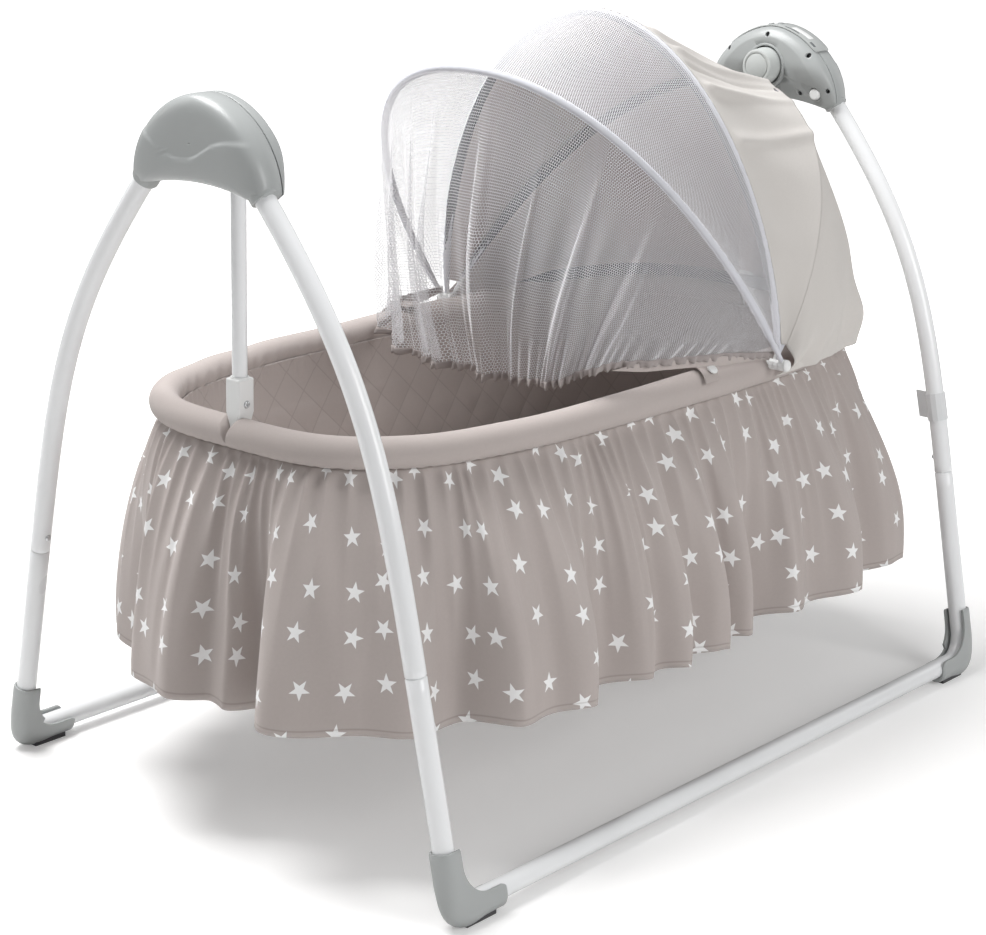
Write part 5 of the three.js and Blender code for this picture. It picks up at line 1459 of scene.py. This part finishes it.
def bow_place(bow, share):
    """A place on a bow, a superellipse in its own plane: 0 is its front pivot and 1 its back one."""
    angle = np.asarray(share, float) * math.pi
    power = 2 / bow["squareness"]
    across = -np.sign(np.cos(angle)) * np.abs(np.cos(angle)) ** power
    rise = np.abs(np.sin(angle)) ** power
    sideways = across[:, None] * bow["spread"] * np.array((0, 1, 0))
    return PIVOT + sideways + rise[:, None] * bow["height"] * bow_axes(bow)[0]


def bow_outward(bow, share):
    """The direction away from the pivot line, square to the bow in its own plane."""
    ahead = bow_place(bow, np.clip(share + 0.004, 0, 1)) - bow_place(bow, np.clip(share - 0.004, 0, 1))
    return units(np.cross(ahead, bow_axes(bow)[1]))


def swept(name, route, radii, normal, sides=20, flatness=1.0):
    """A tube along a route in a plane, with its own flat place: along, then round. Its section is an oval
    that is flatness times as thick, square to the route's plane, as it is in the plane."""
    route = np.asarray(route, float)
    travel = units(np.gradient(route, axis=0))
    across = units(np.cross(travel, normal))
    other = np.cross(across, travel)
    angle = full_turn(sides)[None, :, None]
    reach = np.broadcast_to(radii, len(route))[:, None, None]
    around = np.cos(angle) * across[:, None] + flatness * np.sin(angle) * other[:, None]
    points = route[:, None] + reach * around
    along = distance_along(route)
    round_it = np.linspace(0, math.pi * float(np.mean(radii)) * (1 + flatness), sides + 1)
    uv = np.stack(np.meshgrid(along, round_it, indexing="ij"), -1)
    return outward(grid_object(name, points, loop_columns=True, caps=True, uv=uv))


welt_cloth = cloth_material("pale_welt_cloth", (0.63, 0.635, 0.68), threads=380.0)
tape_cloth = cloth_material("grey_tape_cloth", (0.14, 0.135, 0.145), threads=520.0, bump=0.2)
for name, bow in BOWS.items():
    share = np.linspace(0.004, 0.996, 220)
    taper = 0.6 + 0.4 * smoothstep(np.minimum(share, 1 - share), 0, 0.05)
    pucker = 0.0002 * np.sin(share * 900) + 0.0002 * np.sin(share * 410 + 1)
    route = bow_place(bow, share)
    welt = swept(f"{name}_welt", route, WELT_RADII[name] * taper + pucker, bow_axes(bow)[1])
    painted(welt, welt_cloth)
    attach(welt, BOW_BODIES[name])
    if name != "net_bow":
        share = np.linspace(0.03, 0.97, 180)
        route = bow_place(bow, share) - bow_outward(bow, share) * 0.0012
        taper = 0.35 + 0.65 * smoothstep(np.minimum(share, 1 - share), 0.03, 0.12)
        tape = swept(f"{name}_tape", route, TAPE_DEPTH / 2 * taper, bow_axes(bow)[1],
            flatness=TAPE_WIDTH / TAPE_DEPTH)
        painted(tape, tape_cloth)
        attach(tape, BOW_BODIES[name])
repaint(["rear_bow", "main_bow", "net_bow"], white_plastic)

# Pivot caps: a white domed rivet head at each side, on the pin that the three bows turn on.
CAP_FROM = 0.2612
CAP_RADIUS = 0.0068
PIN_START = 0.228
for side, sign_y in SIDES.items():
    depth = np.array([PIN_START, PIN_START, 0.2615, CAP_FROM, CAP_FROM + 0.002, 0.2648, 0.2658, 0.2661])
    radius = np.array([1e-4, 0.0025, 0.0025, CAP_RADIUS - 0.0006, CAP_RADIUS, CAP_RADIUS - 0.0008,
        0.004, 1e-4])
    angle = full_turn(48)[None, :]
    level = sign_y * depth[:, None] + 0 * angle
    points = np.stack([PIVOT_X + radius[:, None] * np.cos(angle), level,
        PIVOT_HEIGHT + radius[:, None] * np.sin(angle)], -1)
    piece = crisp(outward(grid_object(f"pivot_cap_{side}_domed", points, loop_columns=True, caps=True)), 40)
    painted(piece, white_plastic)
    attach(piece, "cradle")
    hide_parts(f"pivot_cap_{side}")

# Hood: pale beige cloth stretched from the middle bow back to the rear bow. It hollows a little between the
# bows, and creases run off the middle bow's crown where the pull is uneven.
BEIGE = (0.60, 0.572, 0.545)
CLOTH_LIFT = 0.0052
CREASE_GAIN = 1.9
CLOTH_FROM = 0.022
# Long creases: the middle's share, width, height and how fast each dies away
HOOD_CREASES = ((0.30, 0.008, 0.0040, 1.2), (0.335, 0.006, -0.0026, 1.0), (0.365, 0.009, 0.0034, 0.8),
    (0.41, 0.012, 0.0030, 1.4), (0.23, 0.010, 0.0028, 0.7), (0.55, 0.012, 0.0030, 0.9),
    (0.62, 0.010, 0.0026, 1.1), (0.70, 0.012, 0.0030, 0.8))


def spanned(front_route, rear_route, rows, sag, out):
    """Rows of points from one curve to another, drawn in between them by a sag along the outward
    direction."""
    part = np.linspace(0, 1, rows)[:, None, None]
    straight = front_route[None] * (1 - part) + rear_route[None] * part
    return straight - sag * 4 * part * (1 - part) * out[None]


def flat_places(points):
    """The cloth's own flat places: the mean distance walked along the rows and down the columns."""
    along = np.linalg.norm(np.diff(points, axis=1), axis=2).mean(axis=0)
    down = np.linalg.norm(np.diff(points, axis=0), axis=2).mean(axis=1)
    along = np.concatenate([[0], np.cumsum(along)])
    down = np.concatenate([[0], np.cumsum(down)])
    return np.stack(np.meshgrid(down, along, indexing="ij")[::-1], -1), along[-1], down[-1]


def hood_panel():
    """Between two bows, with a sag and a set of long creases: each is a smooth ridge along a slanted line
    whose height dies away towards the rear bow."""
    share = np.linspace(CLOTH_FROM, 1 - CLOTH_FROM, 260)
    main, rear = BOWS["main_bow"], BOWS["rear_bow"]
    main_out, rear_out = bow_outward(main, share), bow_outward(rear, share)
    front = bow_place(main, share) + main_out * CLOTH_LIFT
    back = bow_place(rear, share) + rear_out * CLOTH_LIFT
    out = units((main_out + rear_out) / 2)
    points = spanned(front, back, 90, 0.009, out)
    part = np.linspace(0, 1, 90)[:, None]
    slant = share[None] - 0.05 * part
    crease = np.zeros_like(slant)
    for centre, width, height, fade in HOOD_CREASES:
        ridge = np.exp(-(((slant - centre - 0.02 * part**2) / width) ** 2))
        crease += height * ridge * np.exp(-((part * fade) ** 2)) * smoothstep(part, 0, 0.12)
    crease *= CREASE_GAIN
    rumple = 0.0022 * np.sin(slant * 60 + 4 * part) * np.sin(math.pi * part)
    points = points + (crease + rumple)[..., None] * out[None]
    uv, width, length = flat_places(points)
    piece = faces_from(grid_object("hood_panel_cloth", points, uv=uv), PIVOT)
    return thickened(painted(piece, beige_cloth, hood_lining), 0.0008, 0, 1), width, length


beige_cloth = cloth_material("beige_polyester", BEIGE)
hood_lining = cloth_material("taupe_hood_lining", (0.56, 0.49, 0.475))
hood, hood_width, hood_length = hood_panel()
crown_rear = bow_place(BOWS["rear_bow"], np.array([0.5]))[0]
crown_main = bow_place(BOWS["main_bow"], np.array([0.5]))[0]
crown_net = bow_place(BOWS["net_bow"], np.array([0.5]))[0]


def narrowed(start, end, share):
    """Two points on the line from start to end, drawn in towards its middle."""
    middle = (start + end) / 2
    return tuple(middle + (start - middle) * share), tuple(middle + (end - middle) * share)


BLEND_SHARE = 0.85
start, end = narrowed(crown_rear, crown_main, BLEND_SHARE)
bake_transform(hood)
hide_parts("hood_panel")

# Rear drape: the hood's skirt, from the rear bow down over the motor end of the basket to just below the rim.
# It is slit for the hanger and hangs in loose folds at the corners.
DRAPE_HEM_OFFSET = 0.0288
DRAPE_HEM_HEIGHT = 0.429
DRAPE_SLIT_HALF = 0.0118
DRAPE_SLIT_TOP = 0.477
DRAPE_TUCK = 0.4446
DRAPE_BULGE = 0.016
# Loose folds at the corners: depth, share of the way round, lean and width
DRAPE_POCKETS = ((0.012, 0.20, 0.05, 0.022), (0.010, 0.80, -0.05, 0.022), (-0.012, 0.245, 0.05, 0.02),
    (-0.010, 0.755, -0.05, 0.02))


def level_away(points):
    """Level directions, from midway between the pivots to each point."""
    away = points - (PIVOT_X, 0, 0)
    away[..., 2] = 0
    return units(away)


def rear_drape():
    """Columns from places on the rear bow to places along the rim's motor end, bulged outward half way down.
    Soft folds run down from the bow and deepen at the corners."""
    columns = 300
    share = np.linspace(CLOTH_FROM, 1 - CLOTH_FROM, columns)
    rear = BOWS["rear_bow"]
    out = bow_outward(rear, share)
    top = bow_place(rear, share) + out * CLOTH_LIFT - bow_axes(rear)[1] * 0.0006
    front_share = np.interp(PIVOT_X + CLOTH_FROM * RIM_LENGTH, *rim_share_by_x())
    round_share = np.linspace(front_share - 1, 1 - front_share, columns)
    place, away = oval(np.mod(round_share, 1))
    hem = np.column_stack([place + DRAPE_HEM_OFFSET * away, np.full(columns, DRAPE_HEM_HEIGHT)])
    part = np.linspace(0, 1, 110)[:, None, None]
    points = top[None] * (1 - part) + hem[None] * part
    sideways = level_away(points)
    part = part[..., 0]
    middle = np.sin(math.pi * part**1.1) ** 1.2
    at_side = smoothstep(np.abs(points[..., 1]), 0, 0.12)
    s = share[None]
    folds = 0.0045 * np.sin(s * 46 + 2.2 * part) * part * (1 - 0.3 * part)
    folds += 0.0030 * np.sin(s * 97 + 3 * part + 1) * part**2
    pocket = 0
    for depth, centre, lean, width in DRAPE_POCKETS:
        pocket += depth * np.exp(-(((s - centre - lean * part) / width) ** 2))
    bulge = DRAPE_BULGE * middle * at_side + folds * smoothstep(part, 0, 0.2)
    bulge += pocket * np.exp(-(((part - 0.82) / 0.16) ** 2))
    bulge = np.maximum(bulge, -0.02 * (1 - smoothstep(part, 0.3, 0.55)))
    points = points + bulge[..., None] * sideways
    tuck = DRAPE_TUCK + 0.08 * smoothstep(np.abs(points[..., 1]), 0.009, 0.034)
    points[..., 0] -= np.maximum(points[..., 0] - tuck, 0) * smoothstep(points[..., 2], 0.455, 0.480)
    uv, width, length = flat_places(points)
    piece = faces_from(grid_object("rear_drape_cloth", points, uv=uv), PIVOT)
    thickened(painted(piece, beige_cloth, hood_lining), 0.0008, 0, 1)
    half, foot, shoulder = DRAPE_SLIT_HALF, DRAPE_HEM_HEIGHT - 0.02, DRAPE_SLIT_TOP - 0.01
    slot = slab("hanger_slot", [(-half, foot), (half, foot), (half, shoulder), (0, DRAPE_SLIT_TOP),
        (-half, shoulder)], 0.42, 0.56)
    return with_holes(piece, [slot]), width, length


def rim_share_by_x():
    """X places and the shares of the way round that have them, on the front of the rim's motor end."""
    share = np.linspace(0.76, 0.999, 400)
    return oval(share)[0][:, 0], share


drape, drape_width, drape_length = rear_drape()
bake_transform(drape)
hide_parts("rear_drape")

# Hood base band: a tall, thin dark grey band that stands just inside and above the padded rim, round the
# motor end.
BASE_BAND_HEIGHT = 0.016
BASE_BAND_REACH = 0.155
base_share = np.linspace(-BASE_BAND_REACH, BASE_BAND_REACH, 240)
base_route, base_out = oval(base_share)
base_route = np.column_stack([base_route - 0.014 * base_out, np.full(240, 0.464)])
base_taper = 0.0012 * (0.08 + 0.92 * smoothstep(BASE_BAND_REACH - np.abs(base_share), 0, 0.03))
base_band = swept("hood_base_band", base_route, base_taper, (0, 0, 1), 16, BASE_BAND_HEIGHT / 0.0024)
painted(base_band, tape_cloth)
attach(base_band, "cradle")

# Mosquito net: fine white hexagonal mesh. A panel is stretched from the middle bow to the net bow, and a
# curtain hangs from the net bow to an elastic edge that gathers it round the rim.
NET_CELL = 0.0026
# Places on the elastic edge: share of the way round, then X, Y and Z
NET_EDGE = (
    (0.022, 0.146, -0.252, 0.462), (0.09, 0.030, -0.238, 0.476), (0.17, -0.090, -0.222, 0.486),
    (0.22, -0.142, -0.206, 0.486), (0.29, -0.155, -0.170, 0.466), (0.37, -0.131, -0.100, 0.454),
    (0.45, -0.116, -0.040, 0.449), (0.55, -0.093, 0.040, 0.444), (0.64, -0.080, 0.090, 0.440),
    (0.72, -0.052, 0.150, 0.440), (0.80, -0.020, 0.205, 0.455), (0.90, 0.060, 0.238, 0.466),
    (0.978, 0.146, 0.252, 0.462),
)
# Deep folds of the curtain: the middle's share, half width, height and slant
NET_RIDGES = (
    (0.215, 0.014, 0.020, 0.01), (0.305, 0.008, 0.022, 0.02), (0.455, 0.018, 0.026, -0.02),
    (0.545, 0.010, 0.024, 0), (0.60, 0.007, 0.016, 0), (0.68, 0.012, 0.018, 0.02), (0.77, 0.010, 0.016, 0),
    (0.38, 0.006, 0.012, 0.01),
)


def hexagon_holes():
    """Round holes on a hexagonal lattice: the distance to the nearest of two interlocked rectangular grids.
    The density is 1 on the threads and 0 in the holes."""
    group, given = effect_group("hexagon_net", {"Vector": (0.0, 0.0, 0.0), "Cell": 0.0026, "Hole": 0.40,
        "Softness": 0.08}, {"Density": "NodeSocketFloat"})
    size = node(group, "CombineXYZ", inputs={"X": (given, "Cell"), "Z": 1.0})
    tall = math_node(group, "MULTIPLY", (given, "Cell"), math.sqrt(3))
    group.links.new(tall.outputs["Value"], size.inputs["Y"])
    nearest = None
    for shift in (0.0, 0.5):
        cells = node(group, "VectorMath", {"operation": "DIVIDE"}, {0: (given, "Vector"),
            1: (size, "Vector")})
        moved = node(group, "VectorMath", {"operation": "ADD"}, {0: (cells, "Vector"), 1: (shift, shift, 0)})
        local = node(group, "VectorMath", {"operation": "FRACTION"}, {0: (moved, "Vector")})
        centred = node(group, "VectorMath", {"operation": "SUBTRACT"}, {0: (local, "Vector"),
            1: (0.5, 0.5, 0)})
        square = node(group, "VectorMath", {"operation": "MULTIPLY"}, {0: (centred, "Vector"),
            1: (1, math.sqrt(3), 0)})
        distance = node(group, "VectorMath", {"operation": "LENGTH"}, {0: (square, "Vector")})
        if nearest is None:
            nearest = distance
        else:
            nearest = math_node(group, "MINIMUM", (nearest, "Value"), (distance, "Value"))
    low = math_node(group, "SUBTRACT", (given, "Hole"), (given, "Softness"))
    high = math_node(group, "ADD", (given, "Hole"), (given, "Softness"))
    thread = node(group, "MapRange", inputs={"Value": (nearest, "Value"), "From Min": (low, "Value"),
        "From Max": (high, "Value")})
    node(group, "NodeGroupOutput", inputs={"Density": (thread, "Result")})
    return group


HEXAGON_NET = hexagon_holes()


def net_material(name, colour, cell, hole):
    """White thread where the lattice is, and nothing in its holes."""
    made, tree, place = material(name)
    lattice = node(tree, "Group", {"node_tree": HEXAGON_NET}, {"Vector": (place, "UV"),
        "Cell": cell, "Hole": hole, "Softness": 0.05})
    facing = node(tree, "LayerWeight", inputs={"Blend": 0.35})
    edge_on = node(tree, "MapRange", inputs={"Value": (facing, "Facing"), "From Min": 0.35,
        "From Max": 0.95, "To Max": 0.75})
    covered = math_node(tree, "MAXIMUM", (lattice, "Density"), (edge_on, "Result"))
    uneven = node(tree, "TexNoise", inputs={"Vector": (place, "UV"), "Scale": 30.0, "Detail": 3.0})
    tint = node(tree, "Mix", {"data_type": "RGBA"}, {"Factor": (uneven, "Fac"),
        "A": (*[c * 0.93 for c in colour], 1), "B": (*colour, 1)})
    bump = node(tree, "Bump", inputs={"Height": (lattice, "Density"), "Strength": 0.3, "Distance": 0.0003})
    shader = node(tree, "BsdfPrincipled", inputs={"Base Color": (tint, "Result"),
        "Roughness": 0.6, "Alpha": (covered, "Value"), "Normal": (bump, "Normal"), "Sheen Weight": 0.3})
    node(tree, "OutputMaterial", inputs={"Surface": (shader, "BSDF")})
    return made


def net_edge(share):
    """The elastic edge, from the front pivot along the rim, across the basket and back along the far rim."""
    knots = np.array(NET_EDGE)
    edge = np.stack([np.interp(share, knots[:, 0], knots[:, axis]) for axis in (1, 2, 3)], -1)
    window = np.exp(-(np.linspace(-2, 2, 41) ** 2))
    window /= window.sum()
    padded = np.vstack([np.repeat(edge[:1], 20, 0), edge, np.repeat(edge[-1:], 20, 0)])
    return np.stack([np.convolve(padded[:, axis], window, "valid") for axis in range(3)], -1)


def net_panel():
    """A stretched sheet from the middle bow to the net bow, hollowed a little between them."""
    share = np.linspace(CLOTH_FROM, 1 - CLOTH_FROM, 220)
    main, bow = BOWS["main_bow"], BOWS["net_bow"]
    main_out, bow_out = bow_outward(main, share), bow_outward(bow, share)
    out = units((main_out + bow_out) / 2)
    back = bow_place(main, share) + main_out * CLOTH_LIFT + bow_axes(main)[1] * 0.002
    front = bow_place(bow, share) + bow_out * CLOTH_LIFT
    points = spanned(back, front, 60, 0.006, out)
    uv, width, length = flat_places(points)
    piece = faces_from(grid_object("net_panel_mesh", points, uv=uv), PIVOT)
    return piece, width, length


def net_curtain():
    """From the net bow to the elastic edge. Folds run down it: they start flat at the bow, deepen to the
    edge, and are pinched there by the elastic's small gathers."""
    share = np.linspace(CLOTH_FROM, 1 - CLOTH_FROM, 640)
    bow = BOWS["net_bow"]
    top = bow_place(bow, share) + bow_outward(bow, share) * 0.002 + bow_axes(bow)[1] * 0.005
    edge = net_edge(share)
    part = np.linspace(0, 1, 80)[:, None, None]
    points = top[None] * (1 - part) + edge[None] * part
    away = level_away(points)
    part = part[..., 0]
    s = share[None]
    middle = smoothstep(np.minimum(s, 1 - s), CLOTH_FROM, 0.16)
    run = s + 0.012 * np.sin(3 * part + s * 9)
    deep = 0.007 * np.sin(run * 58 + 1.6 * np.sin(s * 17))
    narrow = 0.003 * np.sin(run * 150 + 2 * np.sin(s * 23))
    for centre, width, height, slant in NET_RIDGES:
        ridge = (s - centre - slant * (part - 0.6)) / (width * (0.35 + 0.65 * part))
        narrow = narrow + height * np.exp(-(ridge**4))
    gathers = 0.0030 * np.sin(s * 420 + 2 * np.sin(s * 61)) * smoothstep(part, 0.72, 0.98)
    belly = (0.024 - 0.026 * smoothstep(s, 0.45, 0.75)) * np.sin(math.pi * part**1.4)
    bulge = middle * (belly + (deep + narrow) * smoothstep(part, 0.03, 0.8) * (1 - 0.35 * part) + gathers)
    points = points + bulge[..., None] * away
    uv, width, length = flat_places(points)
    piece = faces_from(grid_object("net_curtain_mesh", points, uv=uv), PIVOT)
    return piece, width, length


net_white = (0.90, 0.90, 0.935)
panel_net, net_width, net_length = net_panel()
painted(panel_net, net_material("net_panel_thread", net_white, NET_CELL, 0.40))
start, end = narrowed(crown_main, crown_net, BLEND_SHARE)
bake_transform(panel_net)
curtain, curtain_width, curtain_length = net_curtain()
painted(curtain, net_material("net_curtain_thread", net_white, NET_CELL, 0.43))
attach(curtain, "net_hood_bow")
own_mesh(curtain)
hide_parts("mosquito_net")

# Elastic binding: a gathered strip of taupe cloth over flat elastic, sewn along the curtain's lower edge.
BINDING_DROP = 0.0075
BINDING_RUFFLE = 0.0028
# Section of the binding: share of its drop, and distance out from the net
BINDING_SECTION = ((-0.002, 0.0012), (0.3, 0.0014), (0.65, 0.0012), (1, 0.0008), (1, -0.0002),
    (0.5, -0.0002), (-0.002, 0))


def edge_binding():
    """Two skins that follow the curtain's last row down from it, and flare in small waves at the bottom."""
    last = np.array([v.co for v in curtain.data.vertices]).reshape(80, -1, 3)[-1]
    share = np.linspace(CLOTH_FROM, 1 - CLOTH_FROM, len(last))
    away = level_away(last)
    free = 0.15 + 0.85 * smoothstep(np.minimum(share, 1 - share), 0.17, 0.23)
    wave = free * np.sin(share * 390 + 2 * np.sin(share * 47)) + 0.5 * np.sin(share * 830)
    rows = []
    for drop, side in BINDING_SECTION:
        step = (side + BINDING_RUFFLE * wave * max(drop, 0))[:, None] * away
        rows.append(last + step - np.array((0, 0, 1)) * BINDING_DROP * drop * (1 + 0.15 * wave[:, None]))
    points = np.array(rows)
    uv, width, _ = flat_places(points)
    return outward(grid_object("net_edge_binding", points, loop_rows=True, uv=np.vstack([uv, uv[:1]]))), width


binding, binding_width = edge_binding()
painted(binding, cloth_material("binding_taupe", (0.32, 0.285, 0.275)))
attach(binding, "net_hood_bow")
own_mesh(binding)

# Side bands and snap tabs: a folded band of taupe cloth stands along each side of the rim under the net, and
# a short tab with a white snap holds the hood's corner down over the roll.
BANDS = {"front": (0.03, 0.20), "back": (0.97, 0.82)}
BAND_HEIGHT = 0.011
BAND_THICK = 0.0016
TAB_X = 0.035
TAB_WIDTH = 0.026
TAB_LIFT = 0.0058
SNAP_DISC = 0.0068
SNAP_LEAN = math.radians(52)
# Profile of the snap's cap: height above its foot, and share of its radius
SNAP_HEIGHTS = np.array([0, 0.0012, 0.0022, 0.0027, 0.0029, 0.0030])
SNAP_SHARES = np.array([0.9, 1, 0.96, 0.82, 0.62, 0.55])


def side_band(side):
    """A flat strip under the net's edge: an oval section, tall and thin, carried along that edge."""
    share = np.linspace(*BANDS[side], 90)
    route = net_edge(np.sort(share))
    route = route - np.array((0, 0, BAND_HEIGHT * 0.75))
    length = np.linalg.norm(np.diff(route, axis=0), axis=1).sum()
    taper = BAND_THICK / 2 * (0.05 + 0.95 * smoothstep(np.minimum(np.arange(90), np.arange(90)[::-1]), 0, 26))
    return swept(f"side_band_{side}", route, taper, (0, 0, 1), 16, BAND_HEIGHT / BAND_THICK), length


def snap_tab(side, sign_y):
    """A tab that lies on the roll: points on a circle a little larger than the wadding, thickened."""
    x = np.linspace(-TAB_WIDTH / 2, TAB_WIDTH / 2, 16)[None, :]
    turn = np.radians(np.linspace(118, 22, 24))[:, None]
    centre = RIM_WIDTH + PAD_OFFSET
    reach = pad_radius(np.array(TAB_X)) + TAB_LIFT + 0.0008 * np.cos(x * 150) * np.sin(turn)
    skew = TAB_X + x + 0.006 * (turn - 1.2)
    points = np.stack([skew + 0 * turn, sign_y * (centre + reach * np.cos(turn)) + 0 * x,
        RIM_HEIGHT + reach * np.sin(turn) + 0 * x], -1)
    uv, width, length = flat_places(points)
    piece = faces_from(grid_object(f"snap_tab_{side}", points, uv=uv), (TAB_X, sign_y * centre, RIM_HEIGHT))
    return thickened(piece, 0.0012, 1), width, length


for side, sign_y in SIDES.items():
    band, band_length = side_band(side)
    painted(band, taupe_cloth)
    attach(band, "cradle")
    tab, tab_width, tab_length = snap_tab(side, sign_y)
    painted(tab, taupe_cloth)
    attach(tab, "cradle")
    direction = np.array((0, sign_y * math.cos(SNAP_LEAN), math.sin(SNAP_LEAN)))
    centre = np.array((TAB_X, sign_y * (RIM_WIDTH + PAD_OFFSET), RIM_HEIGHT))
    base = centre + direction * (float(pad_radius(np.array(TAB_X))) + TAB_LIFT + 0.0036)
    pressed = swept(f"snap_{side}", base + direction * SNAP_HEIGHTS[:, None], SNAP_DISC * SNAP_SHARES,
        (1, 0, 0), 36)
    painted(pressed, white_plastic)
    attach(pressed, "cradle")
